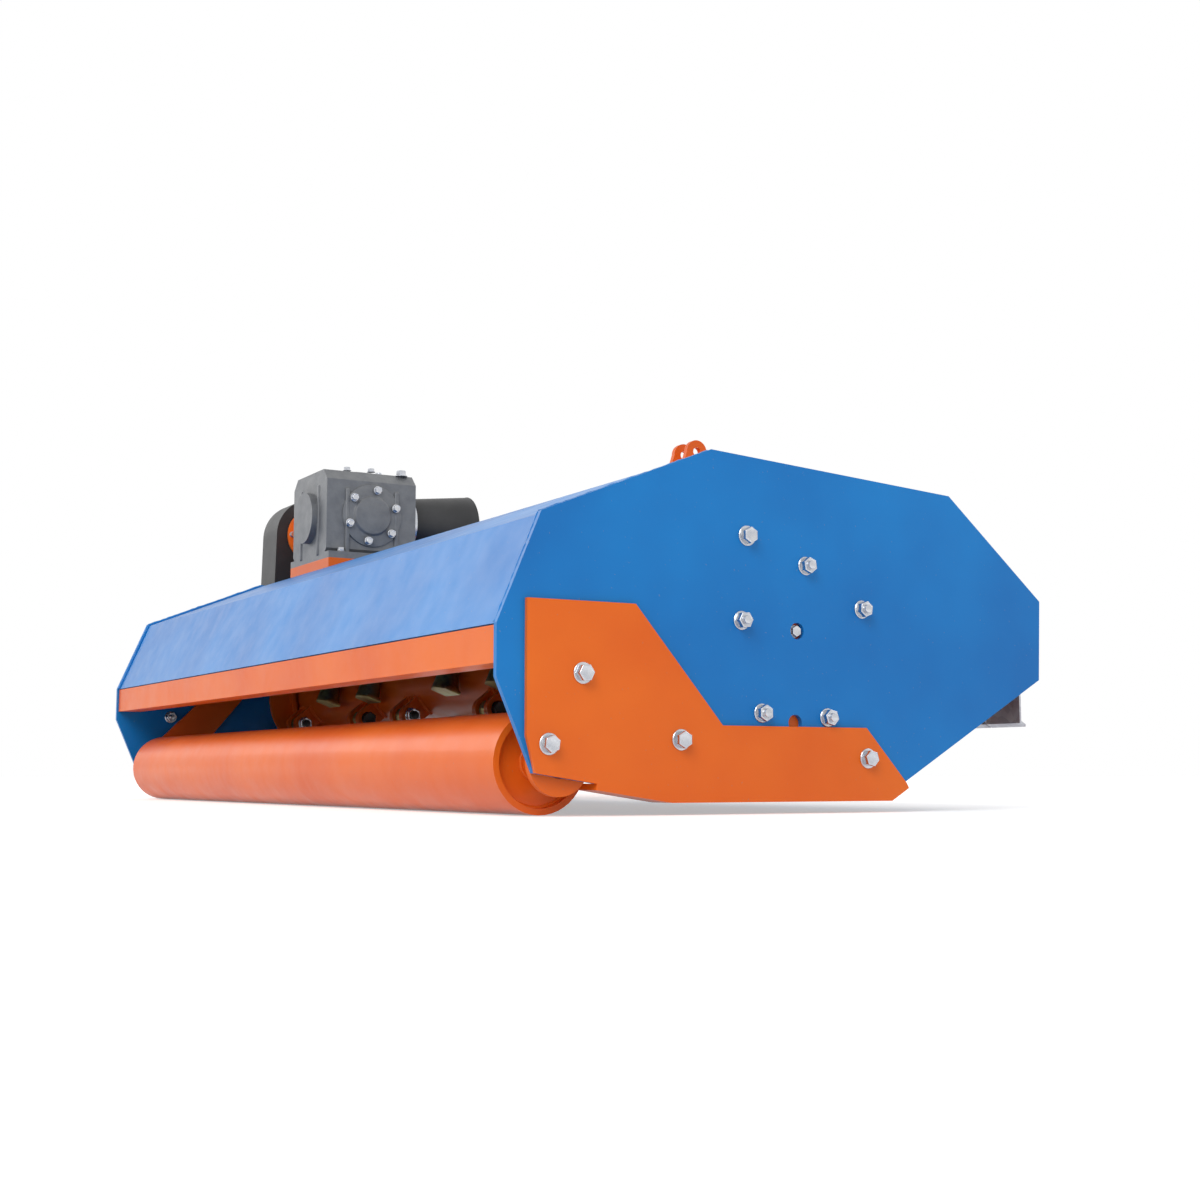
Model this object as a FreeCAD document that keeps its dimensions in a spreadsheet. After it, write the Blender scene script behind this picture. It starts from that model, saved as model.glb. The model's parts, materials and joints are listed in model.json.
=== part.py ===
"""Offset tractor mulcher on a sliding parallelogram, parked on its roller and its parking leg.

Frame: X to the machine's right, Y forward (the driving direction), Z up, in millimetres.
The origin is the middle of the gearbox's splined input stub.
"""
import FreeCAD, Part
import math
import os
import Sketcher

Vector = FreeCAD.Vector
X_AXIS = Vector(1, 0, 0)
Y_AXIS = Vector(0, 1, 0)
Z_AXIS = Vector(0, 0, 1)

DRIVING_SIZES = {
    # where the deck, the rotor and the headstock stand from the input stub
    "pto_to_middle": 660, "pto_ahead": 180, "pto_above": 370,
    "carrier_left": 574, "carrier_ahead": 610, "head_left": 1380,
    # deck
    "inside_width": 1800, "plate_thick": 8, "sheet_thick": 5, "plate_proud": 4,
    "plate_drop": 199, "skid_back": 215, "skid_front": 135,
    "lip_ahead": 420, "lip_low": 35, "lip_up": 12, "face_ahead": 425, "face_up": 80,
    "brow_ahead": 255, "brow_up": 222, "top_back": 150, "top_up": 250,
    "shoulder_back": 400, "shoulder_up": 150, "tail_back": 460, "tail_up": 10,
    "tail_low": 55, "heel_back": 410, "heel_drop": 170,
    "chamber_front": 214, "chamber_low": 17, "chamber_knee": 188, "chamber_knee_up": 75,
    "chamber_top": 165,
    # skids
    "sight_radius": 11, "sight_back": 20, "sight_drop": 104, "sight_high_back": 15, "sight_high": 18,
    "skid_thick": 8, "skid_wide": 50, "skid_wall": 6, "skid_tall": 90,
    "gusset_back": 139, "gusset_rise": 150, "gusset_slope": 130, "skid_nose": 28, "sole_back": 325,
    "skid_taper": 40, "skid_heel": 12, "skid_heel_up": 45,
    # rotor
    "rotor_radius": 65, "rotor_wall": 10, "rotor_end_gap": 8, "journal_radius": 30,
    "hammer_count": 24, "rotor_margin": 121, "hammer_pin_reach": 95, "hammer_pin_radius": 8,
    "lug_thick": 14, "lug_radius": 21, "lug_gap": 2,
    "hammer_reach": 80, "hammer_tip": 25, "hammer_eye_wide": 28, "hammer_eye_radius": 16,
    "hammer_neck_wide": 24, "hammer_neck_deep": 18, "hammer_head_wide": 60,
    "hammer_head_deep": 45, "hammer_clear": 3, "row_phase": 51,
    # bearings at the rotor's ends
    "flange_radius": 125, "flange_thick": 12, "cup_radius": 80, "cup_bore": 73, "cup_deep": 16,
    "hub_radius": 66, "cap_radius": 58, "cap_deep": 38, "slot_wide": 60, "run_clear": 0.05,
    "flange_pitch_radius": 98, "flange_bolt_radius": 8,
    # roller
    "roller_radius": 65, "roller_back": 370, "roller_drop": 157, "roller_short": 50,
    "roller_wall": 8, "axle_radius": 20, "bracket_thick": 10, "bracket_big": 42,
    "bracket_small": 22, "tab_back": 95, "tab_up": 140, "tab_hole": 7,
    "scraper_wide": 46, "scraper_thick": 6,
    # front flaps
    "rod_ahead": 403, "rod_up": -2, "rod_radius": 6, "flap_count": 8, "flap_long": 95,
    "flap_thick": 3, "flap_gap": 2, "eye_radius": 11, "eye_bore": 7, "group_gap": 16,
    "flap_lip": 10, "hook_thick": 8,
    # drive
    "gear_wide": 200, "gear_deep": 230, "gear_tall": 190, "gear_ahead": -25,
    "input_radius": 17.5, "input_long": 100, "rail_tall": 25, "rail_wide": 60,
    "shaft_tube_radius": 45, "guard_radius": 75, "guard_small": 58, "guard_wall": 4,
    "cover_deep": 95, "cover_low_radius": 120, "cover_top_radius": 85, "cover_gap": 6,
    "pad_side": 88, "pad_low": 60, "pad_front": 60, "pad_high": 190, "pad_radius": 12,
    # fore and aft tilt pivot
    "pivot_up": 210, "pivot_radius": 30, "pivot_tube": 50, "pivot_front": 530,
    "pivot_back": 440, "cheek_thick": 12, "cheek_rear": 115, "cheek_edge": 20, "nut_gap": 22,
    # carrier and parallelogram
    "carrier_gap": 6, "carrier_thick": 20, "carrier_half": 195, "carrier_low": 62,
    "carrier_top": 275, "horn_root": 75, "seat_radius": 26, "seat_gap": 6, "arm_up": 130, "arm_long": 600, "arm_angle": 28.5,
    "arm_spacing": 260, "arm_wide": 80, "arm_tall": 90, "arm_wall": 8, "boss_radius": 40,
    "boss_tall": 100, "pin_radius": 17.5, "lug_plate": 16, "pin_play": 2, "pin_head": 27,
    "pin_head_tall": 10, "pin_tail": 12, "hose_radius": 8, "hose_spacing": 34, "hose_end": 125,
    # shift cylinder above the arms
    "shift_up": 242, "shift_inset": 60, "barrel_radius": 32, "rod_steel_radius": 16,
    "eye_half": 20, "eye_outer": 28, "cylinder_pin": 12.5, "shift_barrel_long": 430,
    "neck_long": 44, "gland_long": 30, "blind_end": 20, "shift_stroke_in": 60,
    # tilt cylinder in front of the deck
    "tilt_base": 600, "horn_up": 115, "horn_lean": 10, "tilt_plane": 496, "tilt_rest": 110,
    "tilt_barrel_long": 400, "tilt_stroke_in": 156,
    # headstock
    "beam_left": 620, "beam_right": 745, "beam_ahead": 60, "beam_deep": 100,
    "beam_tall": 110, "arch_half": 610, "arch_thick": 100, "arch_bend": 300,
    "arch_top": 555, "arch_deep": 90, "hitch_spacing": 870, "hitch_up": 160,
    "hitch_pin_radius": 14.3, "hitch_pin_long": 90, "hitch_plate": 20, "hitch_ahead": 200, "hitch_round": 42,
    "hitch_brow": 90, "nut_radius": 24, "nut_thick": 14,
    "mast_up": 610, "mast_ahead": 150, "mast_gap": 52, "mast_plate": 16, "mast_bore": 12.8,
    # parking leg
    "leg_right": 210, "leg_wide": 55, "leg_play": 2, "sleeve_wall": 6, "sleeve_tall": 150,
    "leg_top": 330, "foot_wide": 150, "foot_thick": 10,
}


class Size:
    """A length, angle or number: its value, and the text that binds it to the sheet."""

    def __init__(self, value, text):
        self.value = float(value)
        self.text = text

    def __add__(self, other):
        other = as_size(other)
        return Size(self.value + other.value, f"({self.text} + {other.text})")

    def __radd__(self, other):
        return as_size(other) + self

    def __sub__(self, other):
        other = as_size(other)
        return Size(self.value - other.value, f"({self.text} - {other.text})")

    def __rsub__(self, other):
        return as_size(other) - self

    def __mul__(self, other):
        other = as_size(other)
        return Size(self.value * other.value, f"({self.text} * {other.text})")

    def __rmul__(self, other):
        return as_size(other) * self

    def __truediv__(self, other):
        other = as_size(other)
        return Size(self.value / other.value, f"({self.text} / {other.text})")

    def __neg__(self):
        return Size(-self.value, f"(-1 * {self.text})")


def as_size(number):
    """A bare number as a Size."""
    if isinstance(number, Size):
        return number
    return Size(number, repr(float(number)))


def sine(angle):
    """Sine of a Size in degrees."""
    return Size(math.sin(math.radians(angle.value)), f"sin({angle.text} * 1 deg)")


def cosine(angle):
    """Cosine of a Size in degrees."""
    return Size(math.cos(math.radians(angle.value)), f"cos({angle.text} * 1 deg)")


def angle_between(run, rise):
    """Direction of a run and a rise, in degrees."""
    angle = math.degrees(math.atan2(rise.value, run.value))
    return Size(angle, f"(atan2({rise.text}; {run.text}) / 1 deg)")


def span(run, rise):
    """Length of a run and a rise."""
    return Size(math.hypot(run.value, rise.value), f"sqrt({run.text} ^ 2 + {rise.text} ^ 2)")


class Sizes:
    """The driving sizes as attributes, each bound to its cell of the sheet."""

    def __init__(self, doc):
        sheet = doc.addObject("Spreadsheet::Sheet", "Sizes")
        for row, (name, value) in enumerate(DRIVING_SIZES.items(), start=1):
            sheet.set(f"A{row}", name)
            sheet.set(f"B{row}", str(value))
            sheet.setAlias(f"B{row}", name)
            setattr(self, name, Size(value, f"Sizes.{name}"))


doc = FreeCAD.newDocument("TractorMulcher")
s = Sizes(doc)
doc.recompute()
nodes = {}


# ---------------------------------------------------------------- building blocks


def bind(obj, prop, size):
    """Gives a property the size's value and binds it to the sheet."""
    size = as_size(size)
    obj.setExpression(prop, size.text)


def place(obj, at, turn=None, about=Z_AXIS):
    """Stands an object at a bound point, turned by a bound angle about an axis."""
    x, y, z = (as_size(value) for value in at)
    angle = as_size(turn if turn is not None else 0)
    rotation = FreeCAD.Rotation(about, angle.value)
    obj.Placement = FreeCAD.Placement(Vector(x.value, y.value, z.value), rotation)
    if turn is not None and abs(angle.value) > 1e-9:
        bind(obj, "Placement.Rotation.Angle", angle)
    bind(obj, "Placement.Base.x", x)
    bind(obj, "Placement.Base.y", y)
    bind(obj, "Placement.Base.z", z)
    return obj


def box(name, low, high):
    """A block between two bound corners."""
    obj = doc.addObject("Part::Box", name)
    for prop, a, b in zip(("Length", "Width", "Height"), low, high):
        bind(obj, prop, as_size(b) - a)
    return place(obj, low)


def cylinder(name, radius, length, at, along=Z_AXIS):
    """A round bar from a bound point along an axis of the frame."""
    obj = doc.addObject("Part::Cylinder", name)
    bind(obj, "Radius", radius)
    bind(obj, "Height", length)
    place(obj, at)
    turn = FreeCAD.Rotation(Z_AXIS, along)
    obj.Placement = FreeCAD.Placement(obj.Placement.Base, turn)
    return obj


def cone(name, radius_start, radius_end, length, at, along=Z_AXIS):
    """A round taper from a bound point along an axis of the frame."""
    obj = doc.addObject("Part::Cone", name)
    bind(obj, "Radius1", radius_start)
    bind(obj, "Radius2", radius_end)
    bind(obj, "Height", length)
    place(obj, at)
    obj.Placement = FreeCAD.Placement(obj.Placement.Base, FreeCAD.Rotation(Z_AXIS, along))
    return obj


def fuse(name, pieces):
    """One solid of pieces that meet."""
    obj = doc.addObject("Part::MultiFuse", name)
    obj.Shapes = pieces
    return obj


def group(name, pieces):
    """Pieces of one node that don't meet."""
    obj = doc.addObject("Part::Compound", name)
    obj.Links = pieces
    return obj


def cut(name, base, tool):
    """The base less the tool."""
    obj = doc.addObject("Part::Cut", name)
    obj.Base = base
    obj.Tool = tool
    return obj


def plane_of(body, role):
    """One of a body's own origin planes."""
    return next(o for o in body.Origin.OriginFeatures if o.Role == role)


def bind_point(sketch, edge, end, u, v):
    """Ties one end of a sketch edge to a bound point."""
    for kind, size in (("DistanceX", as_size(u)), ("DistanceY", as_size(v))):
        index = sketch.addConstraint(Sketcher.Constraint(kind, -1, 1, edge, end, size.value))
        sketch.setExpression(f"Constraints[{index}]", size.text)


def draw_outline(sketch, points, arcs):
    """A closed outline through bound points; arcs maps an edge to (centre u, centre v, ccw)."""
    count = len(points)
    flat = [Vector(as_size(u).value, as_size(v).value, 0) for u, v in points]
    starts = []
    for i in range(count):
        a, b = flat[i], flat[(i + 1) % count]
        if i not in arcs:
            sketch.addGeometry(Part.LineSegment(a, b))
            starts.append((1, 2))
            continue
        cu, cv, ccw = arcs[i]
        centre = Vector(as_size(cu).value, as_size(cv).value, 0)
        first, last = (a, b) if ccw else (b, a)
        circle = Part.Circle(centre, Z_AXIS, (a - centre).Length)
        sketch.addGeometry(Part.ArcOfCircle(circle, angle_of(first - centre), angle_of(last - centre)))
        starts.append((1, 2) if ccw else (2, 1))
    for i in range(count):
        after = (i + 1) % count
        sketch.addConstraint(Sketcher.Constraint("Coincident", i, starts[i][1], after, starts[after][0]))
    for i, (u, v) in enumerate(points):
        bind_point(sketch, i, starts[i][0], u, v)
    for i, (cu, cv, _) in arcs.items():
        chord = flat[(i + 1) % count] - flat[i]
        steep = abs(chord.x) < abs(chord.y)
        kind, size = ("DistanceX", as_size(cu)) if steep else ("DistanceY", as_size(cv))
        index = sketch.addConstraint(Sketcher.Constraint(kind, -1, 1, i, 3, size.value))
        sketch.setExpression(f"Constraints[{index}]", size.text)


def angle_of(vector):
    """Angle of a flat vector, in radians."""
    return math.atan2(vector.y, vector.x)


def draw_hole(sketch, u, v, radius):
    """A bound circle in a sketch."""
    radius = as_size(radius)
    centre = Vector(as_size(u).value, as_size(v).value, 0)
    edge = sketch.addGeometry(Part.Circle(centre, Z_AXIS, radius.value))
    bind_point(sketch, edge, 3, u, v)
    index = sketch.addConstraint(Sketcher.Constraint("Radius", edge, radius.value))
    sketch.setExpression(f"Constraints[{index}]", radius.text)


def new_sketch(body, role):
    """An empty sketch on one of a body's own planes."""
    sketch = body.newObject("Sketcher::SketchObject", f"{body.Name}_sketch")
    sketch.AttachmentSupport = (plane_of(body, role), [""])
    sketch.MapMode = "FlatFace"
    return sketch


def prism(name, role, points, thick, at=(0, 0, 0), holes=(), arcs=None, turn=None, about=Z_AXIS):
    """A plate: an outline with holes on an origin plane, padded towards +X, +Y or +Z."""
    body = doc.addObject("PartDesign::Body", name)
    sketch = new_sketch(body, role)
    draw_outline(sketch, points, arcs or {})
    for u, v, radius in holes:
        draw_hole(sketch, u, v, radius)
    pad = body.newObject("PartDesign::Pad", f"{name}_pad")
    pad.Profile = sketch
    bind(pad, "Length", thick)
    pad.Reversed = role == "XZ_Plane"
    sketch.Visibility = False
    return place(body, at, turn, about)


def revolved(name, points, at, turned=False):
    """A round piece: an outline of (along, radius) spun about its own X axis."""
    body = doc.addObject("PartDesign::Body", name)
    sketch = new_sketch(body, "XY_Plane")
    draw_outline(sketch, points, {})
    spin = body.newObject("PartDesign::Revolution", f"{name}_spin")
    spin.Profile = sketch
    spin.ReferenceAxis = (sketch, ["H_Axis"])
    spin.Angle = 360
    place(body, at)
    if turned:
        body.Placement = FreeCAD.Placement(body.Placement.Base, FreeCAD.Rotation(Z_AXIS, 180))
    return body


def folded_sheet(name, points, thick, side, long, at):
    """Sheet folded along an open line in the YZ plane; its other face lies to one side."""
    body = doc.addObject("PartDesign::Body", name)
    sketch = new_sketch(body, "YZ_Plane")
    outer = [Vector(as_size(u).value, as_size(v).value, 0) for u, v in points]
    inner = offset_line(outer, thick.value * side)
    ring = outer + inner[::-1]
    count = len(ring)
    for i in range(count):
        sketch.addGeometry(Part.LineSegment(ring[i], ring[(i + 1) % count]))
    for i in range(count):
        sketch.addConstraint(Sketcher.Constraint("Coincident", i, 2, (i + 1) % count, 1))
    for i, (u, v) in enumerate(points):
        bind_point(sketch, i, 1, u, v)
    folds = len(points) - 1
    for i in range(folds):
        facing = count - 2 - i
        sketch.addConstraint(Sketcher.Constraint("Parallel", i, facing))
        index = sketch.addConstraint(Sketcher.Constraint("Distance", facing, 1, i, thick.value))
        sketch.setExpression(f"Constraints[{index}]", thick.text)
    sketch.addConstraint(Sketcher.Constraint("Perpendicular", folds, folds - 1))
    sketch.addConstraint(Sketcher.Constraint("Perpendicular", count - 1, 0))
    pad = body.newObject("PartDesign::Pad", f"{name}_pad")
    pad.Profile = sketch
    bind(pad, "Length", long)
    return place(body, at)


def offset_line(points, distance):
    """The open line's parallel at a distance, to the left of its direction when positive."""
    normals = []
    for a, b in zip(points, points[1:]):
        along = (b - a).normalize()
        normals.append(Vector(-along.y, along.x, 0))
    result = [points[0] + normals[0] * distance]
    for before, after, point in zip(normals, normals[1:], points[1:]):
        middle = (before + after).normalize()
        result.append(point + middle * (distance / middle.dot(before)))
    result.append(points[-1] + normals[-1] * distance)
    return result


def keep(name, obj):
    """Names a finished sub-part after its node."""
    obj.Label = name
    nodes[name] = obj
    return obj


def copies(name, template_name, placements):
    """A node of equal solids: one template's shape at each placement."""
    template = nodes_hidden[template_name]
    doc.recompute()
    shape = Part.makeCompound([moved(template.Shape, placement) for placement in placements])
    obj = doc.addObject("Part::Feature", name)
    obj.Shape = shape
    return keep(name, obj)


def moved(shape, placement):
    """A copy of a shape, placed."""
    result = shape.copy()
    result.Placement = placement.multiply(result.Placement)
    return result


nodes_hidden = {}

# ---------------------------------------------------------------- shared places

deck_x = s.pto_to_middle
rotor_y = -s.pto_ahead
rotor_z = -s.pto_above
left_inner = deck_x - s.inside_width / 2
right_inner = deck_x + s.inside_width / 2
carrier_x = deck_x - s.carrier_left
head_x = deck_x - s.head_left
carrier_y = rotor_y + s.carrier_ahead
arm_z = rotor_z + s.arm_up
head_y = carrier_y + s.arm_long * cosine(s.arm_angle)
arms_head_x = carrier_x - s.arm_long * sine(s.arm_angle)
pivot_z = rotor_z + s.pivot_up
roller_y = rotor_y - s.roller_back
roller_z = rotor_z - s.roller_drop
floor_z = roller_z - s.roller_radius


def deck(y, z):
    """A point of the deck's section, from its place about the rotor's axis."""
    return (rotor_y + y, rotor_z + z)


PLATE_EDGE = {
    "heel": (-s.heel_back, -s.heel_drop),
    "back": (-s.skid_back, -s.plate_drop),
    "front": (s.skid_front, -s.plate_drop),
    "lip": (s.lip_ahead, -s.lip_low),
    "face": (s.face_ahead, s.face_up),
    "brow": (s.brow_ahead, s.brow_up),
    "top": (-s.top_back, s.top_up),
    "shoulder": (-s.shoulder_back, s.shoulder_up),
    "tail": (-s.tail_back, s.tail_up),
    "tail_foot": (-s.tail_back, -s.tail_low),
}


# ---------------------------------------------------------------- deck shell


def side_plate(name, x, holes):
    """An end plate of the deck."""
    outline = [deck(*point) for point in PLATE_EDGE.values()]
    return keep(name, prism(name, "YZ_Plane", outline, s.plate_thick, at=(x, 0, 0), holes=holes))


def side_plates():
    """The left plate, bored for the belt drive's hub, and the right one, with its two sight holes."""
    low = deck(-s.sight_back, -s.sight_drop)
    high = deck(-s.sight_high_back, s.sight_high)
    side_plate("side_plate_left", left_inner - s.plate_thick, [(rotor_y, rotor_z, s.hub_radius)])
    side_plate("side_plate_right", right_inner, [(*low, s.sight_radius), (*high, s.sight_radius)])


def skid(name, plate_outer, towards_middle):
    """An angle-section skid: a wall on the plate's outside and a sole under its straight edge."""
    outer = plate_outer - towards_middle * s.skid_wall
    inner = outer + towards_middle * s.skid_wide
    low_x = outer if towards_middle > 0 else inner
    heel_slope = (s.plate_drop - s.heel_drop) / (s.heel_back - s.skid_back)
    nose_slope = (s.plate_drop - s.lip_low) / (s.lip_ahead - s.skid_front)
    sole_back = deck(-s.sole_back, -s.heel_drop - (s.heel_back - s.sole_back) * heel_slope)
    nose = deck(s.skid_front + s.skid_nose, s.skid_nose * nose_slope - s.plate_drop)
    edge = [sole_back, deck(-s.skid_back, -s.plate_drop), deck(s.skid_front, -s.plate_drop), nose]
    sole = folded_sheet(f"{name}_sole", edge, s.skid_thick, -1, s.skid_wide, (low_x, 0, 0))
    wall_x = outer if towards_middle > 0 else plate_outer
    top = s.skid_tall - s.plate_drop
    high = top + s.gusset_rise
    heel = -s.heel_back - s.skid_heel
    wall_line = [
        deck(-s.heel_back, -s.heel_drop), deck(-s.skid_back, -s.plate_drop),
        deck(s.skid_front, -s.plate_drop), nose,
        deck(s.skid_front - s.skid_taper, top),
        deck(-s.gusset_back, top), deck(-s.gusset_back - s.gusset_slope, high),
        deck(heel, high), deck(heel, -s.heel_drop + s.skid_heel_up),
    ]
    wall = prism(f"{name}_wall", "YZ_Plane", wall_line, s.skid_wall, at=(wall_x, 0, 0))
    return keep(name, fuse(name, [sole, wall]))


def hood():
    """The folded roof sheet between the end plates."""
    proud = s.plate_proud
    line = [
        deck(s.lip_ahead - proud, s.lip_up), deck(s.face_ahead - proud, s.face_up - 2),
        deck(s.brow_ahead - 2, s.brow_up - proud), deck(-s.top_back, s.top_up - proud),
        deck(-s.shoulder_back + 3, s.shoulder_up - 3), deck(-s.tail_back + proud, s.tail_up),
    ]
    return keep("hood", folded_sheet("hood", line, s.sheet_thick, 1, s.inside_width, (left_inner, 0, 0)))


def front_beam():
    """The sheet that closes the hood's nose into a hollow beam, and fronts the chamber."""
    roof_rise = (s.top_up - s.brow_up) / (s.brow_ahead + s.top_back)
    roof_z = s.brow_up - s.plate_proud - s.sheet_thick + roof_rise * (s.brow_ahead - s.chamber_top)
    line = [
        deck(s.lip_ahead - s.plate_proud - s.sheet_thick - 1, s.chamber_low),
        deck(s.chamber_front, s.chamber_low), deck(s.chamber_knee, s.chamber_knee_up),
        deck(s.chamber_top, roof_z - 1.6),
    ]
    return keep("front_beam", folded_sheet("front_beam", line, s.sheet_thick, -1, s.inside_width, (left_inner, 0, 0)))


def rear_bar():
    """The angle bar along the hood's tail, behind the roller."""
    y, z = deck(-s.tail_back + s.plate_proud, s.tail_up - 1.98)
    line = [(y, z), (y, z - s.scraper_wide), (y + s.scraper_wide, z - s.scraper_wide)]
    return keep("rear_bar", folded_sheet("rear_bar", line, s.scraper_thick, 1, s.inside_width, (left_inner, 0, 0)))


# ---------------------------------------------------------------- rotor and its bearings


def bearing_flange(name, inner_x, outwards, through):
    """Bearing housing: a tailed disc inside the plate, and on the drive side a hub out through it."""
    bore = s.journal_radius + s.run_clear
    line = [
        (-s.cup_deep, s.cup_bore), (-s.cup_deep, s.cup_radius), (0, s.cup_radius), (0, s.flange_radius),
        (s.flange_thick, s.flange_radius), (s.flange_thick, bore), (0, bore), (0, s.cup_bore),
    ]
    if through:
        reach = s.flange_thick + s.plate_thick
        end = reach + s.cap_deep
        line[5:6] = [
            (s.flange_thick, s.hub_radius), (reach, s.hub_radius), (reach, s.cap_radius), (end, s.cap_radius),
            (end, bore),
        ]
    disc_face = inner_x - outwards * s.flange_thick
    housing = revolved(f"{name}_housing", line, (disc_face, rotor_y, rotor_z), turned=outwards < 0)
    half = s.slot_wide / 2
    low_x = disc_face if outwards > 0 else inner_x
    tail_top = rotor_z - s.flange_radius + 20
    tail = box(
        f"{name}_tail", (low_x, rotor_y - half, rotor_z - s.plate_drop),
        (low_x + s.flange_thick, rotor_y + half, tail_top),
    )
    return keep(name, fuse(name, [housing, tail]))


def rotor_tube():
    """The rotor's tube with its end discs, journals and a pair of round-ended lugs per hammer."""
    end = s.inside_width / 2 - s.flange_thick - s.rotor_end_gap
    drive_end = s.inside_width / 2 + s.plate_thick + s.cap_deep - 4
    free_end = s.inside_width / 2 - 2
    bore = s.rotor_radius - s.rotor_wall
    line = [
        (-drive_end, 0), (-drive_end, s.journal_radius), (-end, s.journal_radius), (-end, s.rotor_radius),
        (end, s.rotor_radius), (end, s.journal_radius), (free_end, s.journal_radius), (free_end, 0),
        (end - 15, 0), (end - 15, bore), (-end + 15, bore), (-end + 15, 0),
    ]
    tube = revolved("rotor_tube_bar", line, (deck_x, rotor_y, rotor_z))
    doc.recompute()
    lug = lug_shape()
    pieces = []
    half_gap = s.hammer_eye_wide.value / 2 + s.lug_gap.value
    for x, row in hammer_stations():
        turn = FreeCAD.Rotation(X_AXIS, row)
        for offset in (-half_gap - s.lug_thick.value, half_gap):
            spot = Vector(x + offset, rotor_y.value, rotor_z.value)
            pieces.append(moved(lug, FreeCAD.Placement(spot, turn)))
    obj = doc.addObject("Part::Feature", "rotor_tube")
    obj.Shape = tube.Shape.multiFuse(pieces)
    return keep("rotor_tube", obj)


def lug_shape():
    """One lug along -Z: flat sides down to a round end about the hammer's pin, with its bore."""
    reach = s.hammer_pin_reach.value
    radius = s.lug_radius.value
    foot = s.rotor_radius.value - 6
    corners = [Vector(0, -radius, -foot), Vector(0, -radius, -reach), Vector(0, radius, -reach), Vector(0, radius, -foot)]
    tip = Vector(0, 0, -reach - radius)
    edges = [
        Part.LineSegment(corners[0], corners[1]).toShape(), Part.Arc(corners[1], tip, corners[2]).toShape(),
        Part.LineSegment(corners[2], corners[3]).toShape(), Part.LineSegment(corners[3], corners[0]).toShape(),
    ]
    plate = Part.Face(Part.Wire(edges)).extrude(Vector(s.lug_thick.value, 0, 0))
    bore = Part.makeCylinder(s.hammer_pin_radius.value, s.lug_thick.value + 2, Vector(-1, 0, -reach), X_AXIS)
    return plate.cut(bore)


def hammer_stations():
    """(x, row angle) of each hammer: four rows a quarter turn apart, dealt out in a staggered order."""
    order = ("rear", "up", "front", "rear", "high", "front", "up", "high")
    first = 3
    phase = s.row_phase.value
    row_turn = {"rear": -phase, "front": 90 - phase, "high": 180 - phase, "up": 270 - phase}
    count = int(s.hammer_count.value)
    pitch = (s.inside_width.value - s.rotor_margin.value) / (count - 1)
    start = deck_x.value - (count - 1) / 2 * pitch
    stations = []
    for i in range(count):
        name = order[(i + first) % len(order)]
        stations.append((start + i * pitch, row_turn[name]))
    return stations


def hanging_angle(row):
    """Angle from straight down at which a hammer of a row rests: free, or leaning on the tube."""
    shoulder = math.hypot(s.hammer_reach.value, s.hammer_head_deep.value / 2)
    tilt = math.degrees(math.atan2(s.hammer_head_deep.value / 2, s.hammer_reach.value))
    near = s.rotor_radius.value + s.hammer_clear.value
    pin = s.hammer_pin_reach.value
    cosine_of = (pin * pin + shoulder * shoulder - near * near) / (2 * pin * shoulder)
    least = tilt + math.degrees(math.acos(cosine_of))
    inward = (row + 180 + 180) % 360 - 180
    if abs(inward) >= least:
        return 0.0
    return inward - least if inward > 0 else inward + least


def hammer_template():
    """One forged hammer, hanging from its pin along -Z: waisted neck and flared, blunt head."""
    top = s.hammer_eye_radius
    shoulder = -s.hammer_reach
    tip = -(s.hammer_reach + s.hammer_tip)
    neck = s.hammer_neck_wide / 2
    head = s.hammer_head_wide / 2
    eye = s.hammer_eye_wide / 2
    front = prism("hammer_front", "XZ_Plane", [
        (-eye, top), (-eye, -top), (-neck, -s.hammer_reach / 2), (-head, shoulder), (-head + 2, tip),
        (head - 2, tip), (head, shoulder), (neck, -s.hammer_reach / 2), (eye, -top), (eye, top),
    ], s.hammer_head_deep, at=(0, -s.hammer_head_deep / 2, 0))
    thin = s.hammer_neck_deep / 2
    deep = s.hammer_head_deep / 2
    side = prism("hammer_side", "YZ_Plane", [
        (-top, 0), (-thin, -s.hammer_reach / 2), (-deep, shoulder), (-deep, tip), (deep, tip),
        (deep, shoulder), (thin, -s.hammer_reach / 2), (top, 0),
    ], s.hammer_head_wide, at=(-s.hammer_head_wide / 2, 0, 0), arcs={7: (0, 0, True)})
    both = doc.addObject("Part::MultiCommon", "hammer_blank")
    both.Shapes = [front, side]
    bore = cylinder("hammer_eye_bore", s.hammer_pin_radius, s.hammer_eye_wide + 2, (-s.hammer_eye_wide / 2 - 1, 0, 0), X_AXIS)
    return cut("hammer_template", both, bore)


def hammers():
    """The hammers, each hanging from its pin as it rests."""
    nodes_hidden["hammer"] = hammer_template()
    spots = []
    for x, row in hammer_stations():
        pin = FreeCAD.Rotation(X_AXIS, row).multVec(Vector(0, 0, -s.hammer_pin_reach.value))
        spot = Vector(x, rotor_y.value, rotor_z.value) + pin
        spots.append(FreeCAD.Placement(spot, FreeCAD.Rotation(X_AXIS, hanging_angle(row))))
    return copies("hammers", "hammer", spots)


def hammer_pins():
    """The pins through the lugs and the hammers' eyes."""
    long = s.hammer_eye_wide + 2 * s.lug_gap + 2 * s.lug_thick + 12
    nodes_hidden["pin"] = cylinder("hammer_pin", s.hammer_pin_radius, long, (-long / 2, 0, 0), X_AXIS)
    spots = []
    for x, row in hammer_stations():
        pin = FreeCAD.Rotation(X_AXIS, row).multVec(Vector(0, 0, -s.hammer_pin_reach.value))
        spots.append(FreeCAD.Placement(Vector(x, rotor_y.value, rotor_z.value) + pin, FreeCAD.Rotation()))
    return copies("hammer_pins", "pin", spots)


# ---------------------------------------------------------------- roller


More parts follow.
